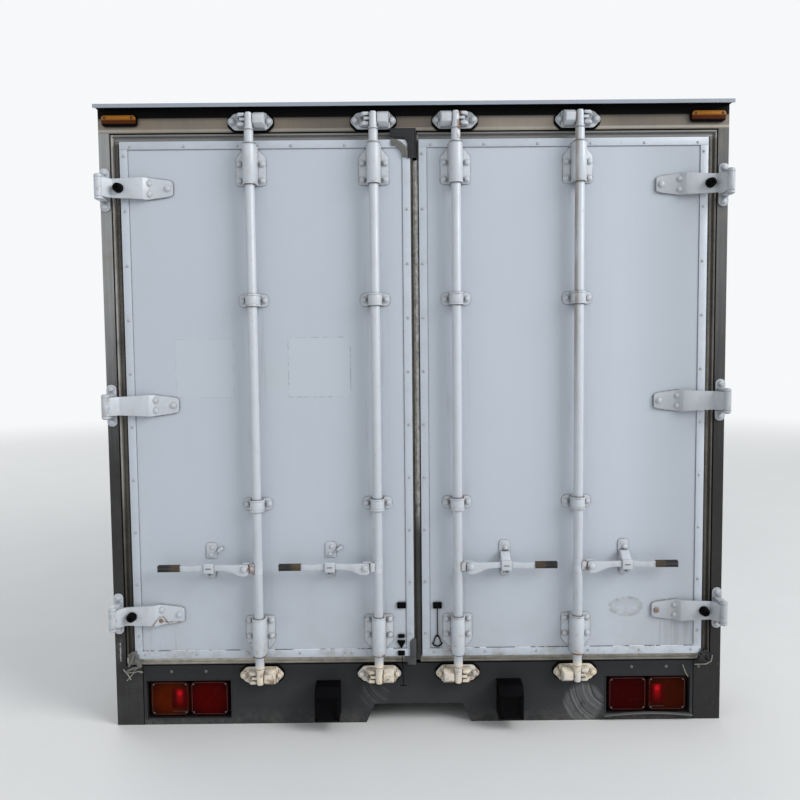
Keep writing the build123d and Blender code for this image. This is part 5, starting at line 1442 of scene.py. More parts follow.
class TRUCK_OT_handles(bpy.types.Operator):
    """Bent flat handles on their clamps, with sleeved grips, and the catches that hold them."""

    bl_idname = "truck.handles"
    bl_label = "Handles"

    def execute(self, context):
        bolt_radius = context.scene.truck_fittings.bolt_radius
        places = [(x, 0, 0) for x in ROD_XS]
        arms = placed(self.arm(bolt_radius), places)
        dress_pair(arms, "bent_handles", "white_hardware", "white_hardware", "lock_handles")
        dress_pair(placed(self.clamp(), places), "handle_clamps", "keeper_paint", "white_hardware")
        dress_pair(placed(self.grip(), places), "handle_grips", "grip_plastic", "black_rubber")
        left = mirrored(placed(join([self.catch(bolt_radius, False), self.hasp_tab()]), places))
        right = placed(join([self.catch(bolt_radius, True), self.hasp_bolts(bolt_radius)]), places)
        dress_leaves(right, left, "catch_plates", "white_hardware", "white_hardware", "handle_catches")
        dress_pair(placed(self.slot(), places), "catch_slots", "black_plastic", "black_rubber")
        return {"FINISHED"}

    def arm(self, bolt_radius):
        """The pressed arm about x = 0: wide root, waist, and a gentle double bend out to the grip."""
        pivot = 0.046
        tail = HANDLE_LENGTH - 0.078
        # Distance out from the pivot, and the lower and upper edge about the handle's level
        outline = [
            (-0.0150, -0.0150, 0.0090), (-0.0125, -0.0215, 0.0125), (-0.0060, -0.0255, 0.0148),
            (0.0020, -0.0268, 0.0156), (0.0160, -0.0255, 0.0158), (0.0300, -0.0205, 0.0154),
            (0.0450, -0.0130, 0.0150), (0.0620, -0.0075, 0.0150), (0.0800, -0.0052, 0.0156),
            (0.1000, -0.0048, 0.0160), (0.1400, -0.0044, 0.0160), (0.1650, -0.0052, 0.0154),
            (0.1900, -0.0076, 0.0126),
        ]
        rows = [(pivot + out, low, high) for out, low, high in outline]
        rows += [(tail - 0.030, -0.0070, 0.0128), (tail, -0.0056, 0.0140)]
        rows = [(x, HANDLE_FRONT, HANDLE_Z + low, HANDLE_Z + high) for x, low, high in rows]
        plate = soften(strip(rows, (0, -1, 0), 0.011), 0.0030, 3)
        return join([plate, moved(bolt(bolt_radius * 1.15, 0.0080), (pivot, HANDLE_FRONT, HANDLE_Z))])

    def clamp(self):
        """The forged clamp round the rod and its lug, about x = 0."""
        z = HANDLE_Z
        half = [(0.0100, 0.0180), (0.0120, 0.0184), (0.0230, 0.0182), (0.0240, 0.0172)]
        rows = [(-level, radius) for level, radius in reversed(half)] + half
        ring = turned((0, ROD_Y, z), "z", rows, 32)
        lug = slab((0.012, HANDLE_BACK, z - 0.020), (0.060, HANDLE_BACK + 0.008, z + 0.020))
        round_corners(lug, "y", 0.012, 4, lambda middle: middle.x > 0.04)
        ear = slab((0.010, HANDLE_FRONT + 0.002, z - 0.017), (0.0285, HANDLE_BACK + 0.004, z + 0.017))
        return join([ring, soften(lug, 0.0015), soften(ear, 0.0035)])

    def grip(self):
        """The flattened plastic sleeve on the end of the handle, with a mould line and a rounded end."""
        start, end = HANDLE_LENGTH - 0.080, HANDLE_LENGTH
        middle = HANDLE_Z + 0.005
        front, back = HANDLE_FRONT - 0.004, HANDLE_BACK + 0.004
        sleeve = slab((start, front, middle - 0.0125), (end, back, middle + 0.0125))
        pick(sleeve, "EDGE", lambda edge: all(vertex.co.x > end - 0.001 for vertex in edge.verts))
        bpy.ops.mesh.bevel(offset=0.006, segments=4, affect="EDGES")
        round_corners(close(sleeve), "x", 0.0062, 4)
        line = slab(
            (start + 0.001, front - 0.0006, middle - 0.0008), (end - 0.008, front + 0.0010, middle + 0.0008)
        )
        return smooth(join([soften(sleeve, 0.0012), line]))

    def catch(self, bolt_radius, bent):
        """A plate, bent out over the arm or short of it, the block before the arm, and the bolted lug."""
        x, z, front = CATCH_OFFSET, HANDLE_Z, HANDLE_FRONT
        low, high = z - 0.046, z + 0.085
        foot = z + (-0.020 if bent else 0.028)
        plate = slab((x - CATCH_HALF, SKIN - CATCH_PLATE, foot), (x + CATCH_HALF, SKIN, high))
        round_corners(plate, "y", 0.0110, 5, lambda middle: middle.z > high - 0.01)
        lug = slab((x - 0.0155, SKIN - 0.006, low), (x + 0.0155, SKIN, z - 0.006))
        round_corners(lug, "y", 0.0120, 5, lambda middle: middle.z < low + 0.01)
        block = slab((x - 0.0185, front - 0.0065, z - 0.0135), (x + 0.0185, front + 0.0015, z + 0.0225))
        shelf = slab((x - 0.0150, front, z - 0.0155), (x + 0.0150, SKIN, z - 0.0068))
        parts = [soften(plate, 0.0012), soften(lug, 0.0016), soften(block, 0.0032, 3), soften(shelf, 0.0016)]
        if bent:
            neck = slab((x - 0.0165, front + 0.004, z + 0.0165), (x + 0.0165, SKIN, z + 0.046))
            cut_off(neck, (x, front + 0.004, z + 0.022), (0, -0.62, 0.78))
            parts.append(soften(neck, 0.0020))
        for middle in (x - 0.0125, x + 0.0125):
            cheek = slab((middle - 0.0030, front + 0.006, z - 0.034), (middle + 0.0030, SKIN, z - 0.008))
            cut_off(cheek, (x, front + 0.006, z - 0.014), (0, -0.6, -0.8))
            parts.append(soften(cheek, 0.0012))
        parts.append(moved(bolt(bolt_radius * 0.95, 0.0070), (x, SKIN - 0.006, low + 0.0135)))
        return join(parts)

    def slot(self):
        """The dark opening across the block of the catch."""
        x, z, front = CATCH_OFFSET, HANDLE_Z, HANDLE_FRONT
        hole = slab((x - 0.0105, front - 0.0070, z + 0.0030), (x + 0.0105, front - 0.0050, z + 0.0062))
        return soften(hole, 0.0006)

    def hasp_bolts(self, bolt_radius):
        """The bolts in the catch plates of the right leaf: a flat one over a domed one."""
        x, y, z = CATCH_OFFSET, SKIN - CATCH_PLATE, HANDLE_Z
        flat = turned((x - 0.006, y, z + 0.071), "y", [(0.001, 0.0056), (-0.0018, 0.0050)], 14)
        return join([moved(bolt(bolt_radius * 0.95, 0.0080), (x + 0.004, y, z + 0.056)), flat])

    def hasp_tab(self):
        """The bolts and tilted tab on the catches of the left leaf, modelled at x > 0 and then mirrored."""
        x, z = CATCH_OFFSET, HANDLE_Z
        tab = slab((x - 0.045, SKIN - 0.016, z + 0.056), (x - 0.022, SKIN - 0.006, z + 0.067))
        arm = slab((x - 0.038, SKIN - 0.008, z + 0.058), (x - 0.008, SKIN - 0.003, z + 0.065))
        tab = join([soften(tab, 0.0020), soften(arm, 0.0010)])
        parts = [tilted(tab, "y", 38, (x - 0.032, SKIN, z + 0.062))]
        rows = [(0.001, 0.0075), (-0.0030, 0.0070), (-0.0052, 0.0045)]
        for shift, level in ((-0.004, 0.068), (0.002, 0.040)):
            parts.append(turned((x + shift, SKIN - CATCH_PLATE, z + level), "y", rows, 14))
        return join(parts)


# Leaves


class TRUCK_OT_leaves(bpy.types.Operator):
    """Edge mouldings with sealant lines and screws, ribbed seals, the corner flap and the centre fittings."""

    bl_idname = "truck.leaves"
    bl_label = "Leaves"

    def execute(self, context):
        fittings = context.scene.truck_fittings
        dress_pair(self.moulding(), "edge_mouldings", "door_edge", "door_edge", "door_trim")
        dress_pair(self.sealant(), "sealant_lines", "sealant", "black_rubber")
        lip = slab((-0.0066, SKIN + 0.006, SEAL_LOW.z + 0.012), (0.0112, SKIN + 0.011, LEAF_HIGH.z - 0.072))
        dress(soften(lip, 0.0015), "centre_lip", "centre_lip", "door_right", "black_rubber")
        dress_pair(self.screws(fittings), "leaf_screws", "screw_steel", "door_edge")
        dress_pair(self.seal(), "ribbed_seals", "seal_rubber", "black_rubber", "door_seal")
        dress(self.flap(), "corner_flap", "flap_rubber", "door_left", "black_rubber")
        dress(self.gusset(), "flap_gusset", "torn_rubber", "door_left", "black_rubber")
        dress(self.low_corner(), "low_corner", "split_rubber", "door_left", "black_rubber")
        for side, finish in (("right", "flap_rubber"), ("left", "torn_rubber")):
            shreds = [self.shred(*row) for row in SHREDS[side]]
            shreds = join(shreds + [self.crumple(*row) for row in CRUMPLES[side]])
            wires = join([self.shred(*row) for row in WIRES[side]])
            for piece, name, worn in ((shreds, "shreds", finish), (wires, "wires", "bare_wire")):
                piece = mirrored(piece) if side == "left" else piece
                dress(piece, f"torn_{name}_{side}", worn, f"door_{side}", "black_rubber")
        dress(self.left_stay(), "left_stay", "black_rubber", "door_left", "black_rubber")
        dress(self.right_stay(), "right_stay", "black_rubber", "door_right", "black_rubber")
        return {"FINISHED"}

    def moulding(self):
        """The right leaf's frame of edge moulding: the long top and bottom pieces overlap the sides."""
        low, high = LEAF_LOW, LEAF_HIGH
        parts = []
        for z0, z1 in ((low.z, low.z + TRIM_WIDTH), (high.z - TRIM_WIDTH, high.z)):
            parts.append(slab((low.x, TRIM_FACE, z0), (high.x, SKIN, z1)))
        for x0, x1 in ((low.x, low.x + TRIM_WIDTH), (high.x - TRIM_WIDTH, high.x)):
            parts.append(slab((x0, TRIM_FACE + 0.0006, low.z + TRIM_WIDTH), (x1, SKIN, high.z - TRIM_WIDTH)))
        return join([soften(part, 0.0012) for part in parts])

    def sealant(self):
        """A thin dark line round the inside of the moulding."""
        inset = TRIM_WIDTH - 0.0004
        low = (LEAF_LOW.x + inset, SKIN - 0.0012, LEAF_LOW.z + inset)
        high = (LEAF_HIGH.x - inset, SKIN + 0.001, LEAF_HIGH.z - inset)
        return opened(slab(low, high), 0.0022)

    def screws(self, fittings):
        """Small domed screws along the middle of the moulding."""
        across = spaced(LEAF_LOW.x + 0.042, LEAF_HIGH.x - 0.038, fittings.screw_pitch)
        upward = spaced(LEAF_LOW.z + 0.086, LEAF_HIGH.z - 0.050, fittings.screw_pitch)
        places = [(x, TRIM_FACE, z) for x in across for z in (LEAF_LOW.z + 0.016, LEAF_HIGH.z - 0.019)]
        places += [(x, TRIM_FACE, z) for z in upward for x in (LEAF_LOW.x + 0.012, LEAF_HIGH.x - 0.016)]
        radius = fittings.screw_radius
        rows = [(0.001, radius), (-0.0012, radius * 0.94), (-0.0024, radius * 0.70), (-0.0030, radius * 0.35)]
        return placed(turned(ORIGIN, "y", rows, 12), places)

    def seal(self):
        """The right leaf's seal: a tube, a groove and a lip that meets the post, and the middle lip."""
        low, high = SEAL_LOW, SEAL_HIGH
        parts = []
        # Inset from the outline, start at the middle, width, height of the bars, distance back, and rounding
        for inset, start, width, bar, back, rounding in (
            (0, 0.0004, SEAL_LIP, SEAL_FOOT, 0.010, 0.0012),
            (0.0022, 0.00122, 0.0075, 0.0075, 0, 0.0030),
            (0.0175, 0.00275, 0.0110, 0.0095, 0.0035, 0.0030),
        ):
            x0, x1 = low.x + start, high.x - inset
            z0, z1 = low.z + inset, high.z - inset
            for (a, b), (c, d) in (
                ((x0, z0), (x1, z0 + bar)), ((x0, z1 - bar), (x1, z1)),
                ((x1 - width, z0 + bar), (x1, z1 - bar)),
            ):
                parts.append(soften(slab((a, low.y + back, b), (c, high.y, d)), rounding, 3))
        lip = slab((low.x, low.y, low.z + 0.010), (LEAF_LOW.x, high.y, high.z - 0.010))
        parts.append(soften(lip, 0.0022))
        return join(parts)

    def flap(self):
        """The moulded rubber corner over the top of the centre gap."""
        left, low, high = FLAP_EDGE - 0.092, LEAF_HIGH.z - 0.066, LEAF_HIGH.z + 0.038
        sheet = slab((left, TRIM_FACE - 0.0045, low), (FLAP_EDGE, TRIM_FACE, high))
        inner = FLAP_EDGE - 0.030
        window = slab((left - 0.02, TRIM_FACE - 0.01, low - 0.02), (inner, TRIM_FACE + 0.01, high - 0.030))
        corner = Vector((inner - 0.01, 0, high - 0.04))
        round_corners(window, "y", 0.028, 8, lambda middle: middle.x > corner.x and middle.z > corner.z)
        parts = [soften(carved(sheet, window), 0.0012)]
        for x, z in ((FLAP_EDGE - 0.0035, low), (left, high - 0.0030)):
            parts.append(soften(slab((x, TRIM_FACE - 0.0060, z), (FLAP_EDGE, TRIM_FACE, high)), 0.0008))
        return join(parts)

    def gusset(self):
        """The curved sheet inside the corner flap, worn pale: a quarter of a ring with a crease round it."""
        x, y, z = FLAP_EDGE - 0.088, TRIM_FACE, LEAF_HIGH.z - 0.062
        pieces = []
        for outer, inner, front in ((0.064, 0.040, 0.0030), (0.057, 0.053, 0.0042)):
            rows = [(0, outer), (-front, outer), (-front - 0.0008, outer - 0.0010)]
            ring = turned((x, y, z), "y", rows, 64)
            carved(ring, turned((x, y + 0.005, z), "y", [(0, inner), (-0.020, inner)], 64))
            cut_off(ring, (x, 0, 0), (-1, 0, 0))
            cut_off(ring, (0, 0, z), (0, 0, -1))
            pieces.append(soften(ring, 0.0005))
        return join(pieces)

    def low_corner(self):
        """The torn rubber corner at the foot of the centre gap, with the gusset under it."""
        low = LEAF_LOW.z
        block = slab((-0.031, TRIM_FACE - 0.0065, low - 0.002), (-0.0075, TRIM_FACE + 0.001, low + 0.068))
        cut_off(block, (-0.031, 0, low + 0.055), (-0.75, 0, 0.66))
        fin = slab((-0.054, TRIM_FACE - 0.0020, low - 0.032), (-0.0085, TRIM_FACE + 0.003, low))
        cut_off(fin, (-0.050, 0, low - 0.008), (-0.86, 0, -0.50))
        return join([soften(block, 0.0022), soften(fin, 0.0010)])

    def shred(self, thickness, front, path):
        """One shred or wire of the torn seal at its outer foot, modelled at x > 0."""
        half = 0.0022 if thickness < 0.004 else 0.0032
        rows = [(-inward, up, -half, half) for inward, up in path]
        piece = strip(rows if rows[-1][0] > rows[0][0] else rows[::-1], (0, 1, 0), thickness)
        tilted(piece, "x", 90, ORIGIN)
        moved(piece, (SEAL_HIGH.x, REAR - front, SEAL_LOW.z))
        return soften(face_out(piece), thickness * 0.22)

    def crumple(self, low, high, front, seed):
        """A crumpled piece of torn rubber between two corners of (distance inwards, height)."""
        middle = (SEAL_HIGH.x - (low[0] + high[0]) / 2, REAR - front, SEAL_LOW.z + (low[1] + high[1]) / 2)
        select_only()
        bpy.ops.mesh.primitive_grid_add(x_subdivisions=4, y_subdivisions=6, size=1, rotation=FACING["y"])
        bpy.ops.transform.resize(value=(high[0] - low[0], 1, high[1] - low[1]))
        bpy.ops.transform.translate(value=middle)
        sheet = settle()
        pick(sheet, "VERT")
        bpy.ops.transform.vertex_random(offset=0.0055, uniform=0.4, normal=0.0, seed=seed)
        bpy.ops.transform.rotate(value=-0.35, orient_axis="Y", center_override=middle)
        return face_out(modify(close(sheet), "SOLIDIFY", thickness=0.0022, offset=0))

    def left_stay(self):
        """Beside the centre gap on the left leaf: a clip, a stub, a bracket, and a wire hung from a block."""
        edge, front = SKIN - 0.0005, TRIM_FACE - 0.001
        clip = slab((-0.077, edge - 0.007, 0.439), (-0.045, edge + 0.001, 0.461))
        stub = slab((-0.075, edge - 0.009, 0.328), (-0.050, edge + 0.001, 0.341))
        bracket = slab((-0.077, edge - 0.006, 0.289), (-0.048, edge + 0.001, 0.318))
        cut_off(bracket, (-0.077, 0, 0.312), (-0.86, 0, -0.50))
        cut_off(bracket, (-0.048, 0, 0.312), (0.86, 0, -0.50))
        block = slab((-0.076, front - 0.006, 0.262), (-0.050, front, 0.281))
        wire = turned((-0.061, front - 0.004, 0), "z", [(0.150, 0.0014), (0.264, 0.0014)], 8)
        tee = turned((0, front - 0.004, 0.149), "x", [(-0.069, 0.0020), (-0.045, 0.0020)], 8)
        return join([
            soften(clip, 0.0015), soften(stub, 0.0030), soften(bracket, 0.0018), soften(block, 0.0025),
            tilted(wire, "y", -2.4, (-0.061, 0, 0.264)), tee,
        ])

    def right_stay(self):
        """Beside the centre gap on the right leaf: two clips and a wire down to a ring."""
        edge = SKIN - 0.0005
        parts = []
        for x0, x1 in ((0.055, 0.069), (0.0735, 0.087)):
            parts.append(soften(slab((x0, edge - 0.007, 0.437), (x1, edge + 0.001, 0.460)), 0.0015))
        parts.append(turned((0.071, edge - 0.0045, 0), "z", [(0.336, 0.0016), (0.461, 0.0016)], 8))
        centre = (0.070, edge - 0.0035, 0.312)
        ring = hoop(centre, 0.0175, 0.0026, 32, 10)
        pick(ring, "VERT", lambda vertex: vertex.co.z > centre[2])
        bpy.ops.transform.resize(value=(0.62, 1, 1.25), center_override=centre)
        return join(parts + [smooth(close(ring))])


# Rear frame: lamps, skirt and visor


class TRUCK_OT_lamps(bpy.types.Operator):
    """Tail lamps with rims, reflectors and screws, and the marker lamps under the visor."""

    bl_idname = "truck.lamps"
    bl_label = "Lamps"

    def execute(self, context):
        low, high = corners("red_lenses")
        red, amber = high.x - LENS_WIDTH, high.x + LENS_GAP
        low.x = red
        front, back = low.y - 0.0016, low.y + 0.001
        step = Vector((amber - red, 0, 0))
        lens = self.lens(low, high)
        dress(both(lens), "red_tail_lenses", "red_lens", "body", "red_lens", "red_lenses")
        lens = self.lens(low + step, high + step)
        dress(both(lens), "amber_tail_lenses", "amber_lens", "body", "amber_lens", "amber_lamps")
        block = slab(
            (amber + 0.006, low.y - 0.0025, low.z + 0.030), (amber + 0.064, low.y + 0.002, high.z - 0.030)
        )
        dress(both(soften(block, 0.0016)), "reflectors", "reflector_red", "body", "red_lens")
        rims = []
        for x in (red, amber):
            rim = slab((x + 0.006, front, low.z + 0.006), (x + LENS_WIDTH - 0.006, back, high.z - 0.006))
            rims.append(opened(round_corners(rim, "y", 0.015, 7), 0.0011))
        rims.append(slab((amber + 0.005, front, low.z + 0.0165), (amber + 0.062, back, low.z + 0.0182)))
        dress(both(join(rims)), "lamp_rims", "lamp_rim", "body", "white_hardware")
        places = [
            (x, low.y, z) for start in (red, amber) for x in (start + 0.012, start + LENS_WIDTH - 0.012)
            for z in (low.z + 0.012, high.z - 0.012)
        ]
        screw = turned(ORIGIN, "y", [(0.001, 0.0036), (-0.0012, 0.0034), (-0.0024, 0.0020)], 12)
        dress(both(placed(screw, places)), "lamp_screws", "dull_screw", "body", "white_hardware")
        self.markers()
        return {"FINISHED"}

    def lens(self, low, high):
        """One lens with rounded corners and a dished front edge."""
        body = round_corners(slab(low, high), "y", 0.020, 8)
        pick(body, "FACE", lambda face: face.normal.y < -0.9)
        bpy.ops.mesh.inset(thickness=0.0045)
        bpy.ops.transform.translate(value=(0, -0.0018, 0))
        bpy.ops.mesh.inset(thickness=0.0030)
        bpy.ops.transform.translate(value=(0, 0.0008, 0))
        return soften(close(body), 0.0012)

    def markers(self):
        """The marker lamps: a rubber base, a stepped lens and a screw at each end."""
        low, high = corners("amber_lamps")
        x1, z1, front = high.x, high.z, low.y
        x0, z0 = x1 - MARKER_WIDTH, z1 - MARKER_HEIGHT
        base = round_corners(slab((x0, REAR - 0.013, z0), (x1, REAR, z1)), "y", 0.010, 5)
        dress(both(soften(base, 0.0025)), "marker_bases", "black_rubber", "body", "black_rubber")
        lens = slab((x0 + 0.002, front + 0.001, z0 + 0.001), (x1 - 0.002, REAR - 0.010, z1 - 0.001))
        cut_off(lens, (x0, front + 0.001, z0 + 0.018), (0, -0.80, -0.60))
        round_corners(lens, "y", 0.0105, 5)
        ridge = slab((x0 + 0.026, front - 0.0004, z1 - 0.0135), (x1 - 0.026, front + 0.006, z1 - 0.0060))
        lens = join([soften(lens, 0.0030, 3), soften(ridge, 0.0014)])
        dress(both(lens), "marker_lenses", "marker_lens", "body", "amber_lens")
        rows = [(0.002, 0.0052), (-0.0008, 0.0050), (-0.0010, 0.0026), (0.0006, 0.0022)]
        places = [(x, front + 0.0004, z1 - 0.0105) for x in (x0 + 0.014, x1 - 0.014)]
        screws = placed(turned(ORIGIN, "y", rows, 14), places)
        dress(both(screws), "marker_screws", "black_plastic", "body", "white_hardware")


class TRUCK_OT_skirt(bpy.types.Operator):
    """Dock bumpers, the skirt's screws and joints, the lips of the lamp windows, and under the visor a black
    strip and sheet that are a black seal and painted shade.
    """

    bl_idname = "truck.skirt"
    bl_label = "Skirt"

    def execute(self, context):
        half = HALF - 0.002
        # A black strip on the header and a sheet under the visor: a black seal, and painted shade under the
        # visor.
        lining = slab((-half, REAR - 0.003, SEAL_AND_SHADE_LOW), (half, REAR + 0.001, ROOF_TOP))
        soffit = slab((-half, VISOR_FRONT + 0.005, ROOF_TOP - 0.004), (half, REAR, ROOF_TOP + 0.0005))
        dress(join([lining, soffit]), "visor_lining", "lining", "body", "black_rubber")
        dress(both(self.bumper()), "rubber_buffers", "black_rubber", "body", "black_rubber", "dock_bumpers")
        low, high = corners("lamp_boxes")
        low.x = high.x - LAMP_WINDOW
        lips = []
        for x0, x1 in ((low.x, high.x), (-high.x, -low.x)):
            lip = slab((x0 - 0.001, REAR - 0.0022, low.z - 0.001), (x1 + 0.001, REAR + 0.004, high.z + 0.001))
            lips.append(soften(opened(lip, 0.0032), 0.0008))
        dress(join(lips), "window_lips", "skirt_paint", "body", "skirt_steel")
        dress(self.bent_ledge(low.x, high.x, low.z), "bent_ledge", "worn_ledge", "body", "skirt_steel")
        joints = []
        top = FLOOR_TOP - 0.001
        for x in (-SKIRT_JOINT, SKIRT_JOINT):
            joints.append(slab((x - 0.0011, REAR - 0.0011, 0.002), (x + 0.0011, REAR + 0.001, top)))
        dress(join(joints), "skirt_joints", "black_rubber", "body", "skirt_steel")
        rows = [(0.001, 0.0066), (-0.0018, 0.0060), (-0.0034, 0.0040), (-0.0038, 0.0015)]
        places = [(x, REAR, SKIRT_SCREW_LEVEL) for x in SKIRT_SCREWS]
        screws = placed(turned(ORIGIN, "y", rows, 14), places)
        dress(screws, "skirt_screws", "dull_screw", "body", "skirt_steel")
        return {"FINISHED"}

    def bumper(self):
        """A moulded rubber buffer with a sloped, chipped top and a shallow pocket in its face."""
        low, high = corners("dock_bumpers")
        low.x = high.x - 0.090
        body = slab(low, high)
        cut_off(body, (low.x, low.y, high.z - 0.030), (0, -1, 1))
        cut_off(body, (low.x, low.y, low.z + 0.012), (0, -1, -1))
        round_corners(body, "z", 0.010, 4, lambda middle: middle.y < low.y + 0.01)
        pick(body, "FACE", lambda face: face.normal.y < -0.9)
        bpy.ops.mesh.inset(thickness=0.014)
        bpy.ops.transform.translate(value=(0, 0.006, 0))
        return soften(close(body), 0.0035)

    def bent_ledge(self, x0, x1, z):
        """The bottom lip of the right lamp window, pushed up and out in a shallow bow."""
        steps = 14
        length = x1 - x0 + 0.012
        select_only()
        bpy.ops.mesh.primitive_grid_add(x_subdivisions=steps, y_subdivisions=1, size=1)
        bpy.ops.transform.resize(value=(length, 0.016, 1))
        bpy.ops.transform.translate(value=((x0 + x1) / 2, REAR - 0.006, z))
        ledge = settle()
        for i in range(steps + 1):
            x = x0 - 0.006 + length * i / steps
            lift = math.sin(math.pi * i / steps) * 0.012
            pick(ledge, "VERT", lambda vertex: abs(vertex.co.x - x) < 0.002)
            bpy.ops.transform.translate(value=(0, -lift * 0.4, lift - 0.004))
            close(ledge)
        modify(ledge, "SOLIDIFY", thickness=0.0026, offset=0)
        return soften(ledge, 0.0008)


# Cooling unit


class TRUCK_OT_cooling_unit(bpy.types.Operator):
    """Round-wire fan guards, swept fan blades, and the cover's latches, seams and louvre slats."""

    bl_idname = "truck.cooling_unit"
    bl_label = "Cooling Unit"

    def execute(self, context):
        guard = self.guard(context.scene.truck_fittings.guard_wire)
        dress(both(guard), "wire_guards", "black_plastic", "body", "black_wire", "fan_guards")
        for x, side in ((FAN_X, "right"), (-FAN_X, "left")):
            name = f"fan_{side}"
            dress(self.rotor(x, name), f"rotor_{side}", "fan_plastic", name, "fan_plastic", name)
        self.cover()
        return {"FINISHED"}

    def guard(self, wire):
        """The right guard: nine hoops on eight bowed spokes."""
        low, high = corners("fan_guards")
        centre = (FAN_X, (low.y + high.y) / 2, FAN_Z)
        start, end = 0.030, high.x - FAN_X - wire
        parts = []
        for i in range(9):
            thickness = wire if i in (0, 8) else wire * 0.6
            parts.append(smooth(hoop(centre, start + (end - start) * i / 8, thickness, 64, 6), 60))
        for i in range(8):
            place = (FAN_X, centre[1] - wire * 0.5, FAN_Z)
            spoke = turned(place, "x", [(start - 0.002, wire * 0.8), (end, wire * 0.8)], 8)
            parts.append(tilted(spoke, "y", 45 * i, centre))
        parts.append(turned(centre, "y", [(-0.0015, 0.031), (0.0015, 0.031)], 32))
        return join(parts)

    def rotor(self, x, name):
        """Hub and five twisted, swept blades."""
        low, high = corners(name)
        centre = Vector((x, (low.y + high.y) / 2, FAN_Z))
        half = (high.y - low.y) / 2
        parts = [turned(centre, "y", [
            (-half, 0.046), (-half + 0.003, 0.050), (half - 0.010, 0.050),
            (half - 0.003, 0.045), (half, 0.034), (half - 0.002, 0.030),
        ], 32)]
        for i in range(5):
            parts.append(tilted(self.blade(centre, high.z - FAN_Z, half), "y", 72 * i, centre))
        return join(parts)

    def blade(self, centre, radius, half):
        """One blade along +X: a sheet whose stations are turned and swept as they go out."""
        steps = 7
        # Stations that are done wait this far out, clear of the ones still to come
        aside = 10
        limit = half - 0.002
        select_only()
        bpy.ops.mesh.primitive_grid_add(x_subdivisions=steps, y_subdivisions=5, size=1, location=centre)
        sheet = settle()
        start, end = 0.042, radius - 0.006
        for i in range(steps + 1):
            old = centre.x - 0.5 + i / steps
            station = start + (end - start) * i / steps
            chord = 0.062 + 0.058 * math.sin(math.pi * (0.10 + 0.62 * i / steps))
            pitch = math.radians(36 - 16 * i / steps)
            new = centre + Vector((station, 0, 0.018 * math.sin(math.pi * i / steps) - 0.012 * i / steps))
            pick(sheet, "VERT", lambda vertex: abs(vertex.co.x - old) < 0.01)
            bpy.ops.transform.resize(value=(1, chord, 1), center_override=(old, centre.y, centre.z))
            close(sheet)
            for vertex in sheet.data.vertices:
                if abs(vertex.co.x - old) < 0.01:
                    offset = vertex.co.y - centre.y
                    camber = 0.006 * (1 - (2 * offset / chord) ** 2)
                    depth = offset * math.sin(pitch) + camber - 0.003
                    y = centre.y + max(-limit, min(limit, depth))
                    vertex.co = (new.x + aside, y, new.z + offset * math.cos(pitch))
        modify(moved(sheet, (-aside, 0, 0)), "SOLIDIFY", thickness=0.0032, offset=0)
        return smooth(face_out(sheet), 50)

    def cover(self):
        """The latches, seams and louvre slats of the cover."""
        low, high = corners("unit_cover")
        back, front = UNIT_FRONT - 0.0012, UNIT_FRONT + 0.0001
        seam = slab((-0.0016, back, low.z + 0.05), (0.0016, front, high.z - 0.10))
        line = slab((-0.70, back, low.z + 0.030), (0.70, front, low.z + 0.033))
        dress(join([seam, line]), "cover_seams", "black_plastic", "body", "black_wire")
        latches = []
        slats = []
        for side in (-1, 1):
            x = side * (high.x - 0.004)
            y0, y1 = UNIT_FRONT - 0.175, UNIT_FRONT - 0.095
            for z in (low.z + 0.10, high.z - 0.16):
                latch = slab((x - 0.004, y0, z - 0.018), (x + 0.004, y1, z + 0.018))
                latches.append(soften(latch, 0.0025))
            x = side * (high.x - 0.0055)
            for row in range(5):
                z = low.z + 0.130 + row * 0.058
                slat = slab((x - 0.0045, low.y + 0.106, z + 0.004), (x + 0.0045, low.y + 0.302, z + 0.0070))
                slats.append(soften(tilted(slat, "y", side * 35, (x, 0, z + 0.0055)), 0.0006))
        dress(join(latches), "cover_latches", "black_plastic", "body", "black_wire")
        dress(join(slats), "louvre_slats", "unit_shell", "body", "unit_shell")


# Box


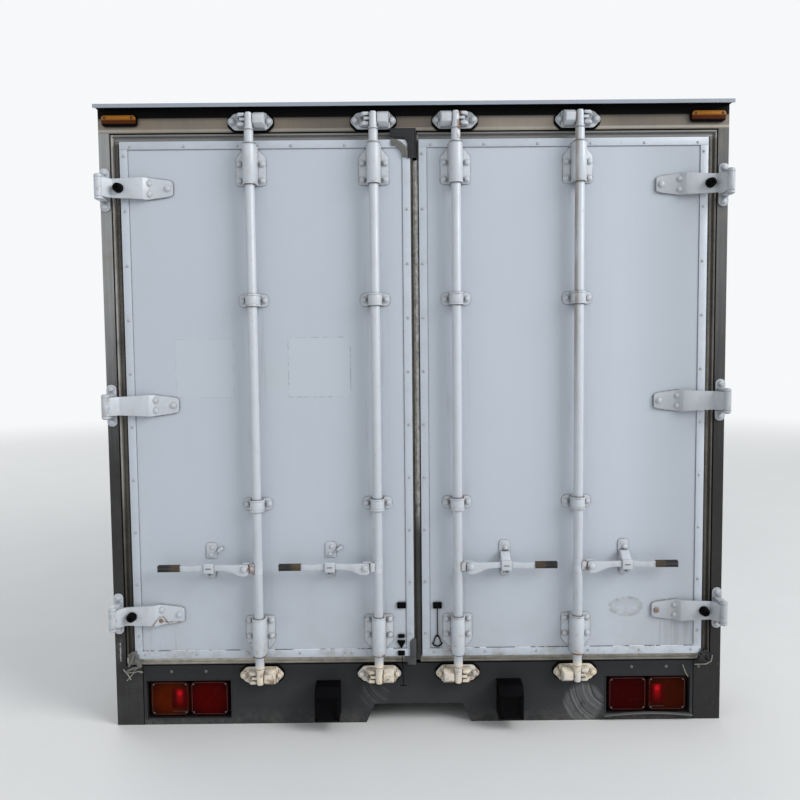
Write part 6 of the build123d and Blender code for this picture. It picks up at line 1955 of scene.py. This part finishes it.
class TRUCK_OT_box(bpy.types.Operator):
    """Rivets along the edge rails."""

    bl_idname = "truck.box"
    bl_label = "Box"

    def execute(self, context):
        pitch = context.scene.truck_fittings.rivet_pitch
        low, high = corners("edge_rails")
        stations = spaced(low.y + 0.06, high.y - 0.02, pitch)
        dome = [(-0.001, 0.0056), (0.0010, 0.0052), (0.0020, 0.0036), (0.0023, 0.0012)]
        side = [(high.x - 0.0024, y, z) for y in stations for z in (low.z + 0.020, high.z - 0.030)]
        top = [(high.x - 0.030, y, high.z - 0.0024) for y in stations]
        side = placed(turned(ORIGIN, "x", dome, 10), side)
        top = placed(turned(ORIGIN, "z", dome, 10), top)
        dress(both(join([side, top])), "rail_rivets", "screw_steel", "body", "aluminium_rail")
        return {"FINISHED"}


# Panel and start


OPERATORS = (
    TRUCK_OT_stage, TRUCK_OT_finishes, TRUCK_OT_hinges, TRUCK_OT_lock_rods, TRUCK_OT_keepers,
    TRUCK_OT_handles, TRUCK_OT_leaves, TRUCK_OT_lamps, TRUCK_OT_skirt, TRUCK_OT_cooling_unit, TRUCK_OT_box,
)


class TRUCK_PT_panel(bpy.types.Panel):
    """The settings of the body and the steps that build it."""

    bl_idname = "TRUCK_PT_panel"
    bl_label = "Truck Body"
    bl_space_type = "VIEW_3D"
    bl_region_type = "UI"
    bl_category = "Truck Body"

    def draw(self, context):
        for group in (context.scene.truck_finish, context.scene.truck_fittings):
            column = self.layout.column()
            for name in group.__annotations__:
                column.prop(group, name)
        for operator in OPERATORS:
            self.layout.operator(operator.bl_idname)


CLASSES = (BodyFinish, BodyFittings, *OPERATORS, TRUCK_PT_panel)


def register():
    for cls in CLASSES:
        bpy.utils.register_class(cls)
    bpy.types.Scene.truck_finish = bpy.props.PointerProperty(type=BodyFinish)
    bpy.types.Scene.truck_fittings = bpy.props.PointerProperty(type=BodyFittings)


def unregister():
    del bpy.types.Scene.truck_fittings
    del bpy.types.Scene.truck_finish
    for cls in reversed(CLASSES):
        bpy.utils.unregister_class(cls)


def main():
    register()
    bpy.ops.truck.stage()
    bpy.ops.truck.finishes()
    bpy.ops.truck.hinges()
    bpy.ops.truck.lock_rods()
    bpy.ops.truck.keepers()
    bpy.ops.truck.handles()
    bpy.ops.truck.leaves()
    bpy.ops.truck.lamps()
    bpy.ops.truck.skirt()
    bpy.ops.truck.cooling_unit()
    bpy.ops.truck.box()


if __name__ == "__main__":
    main()
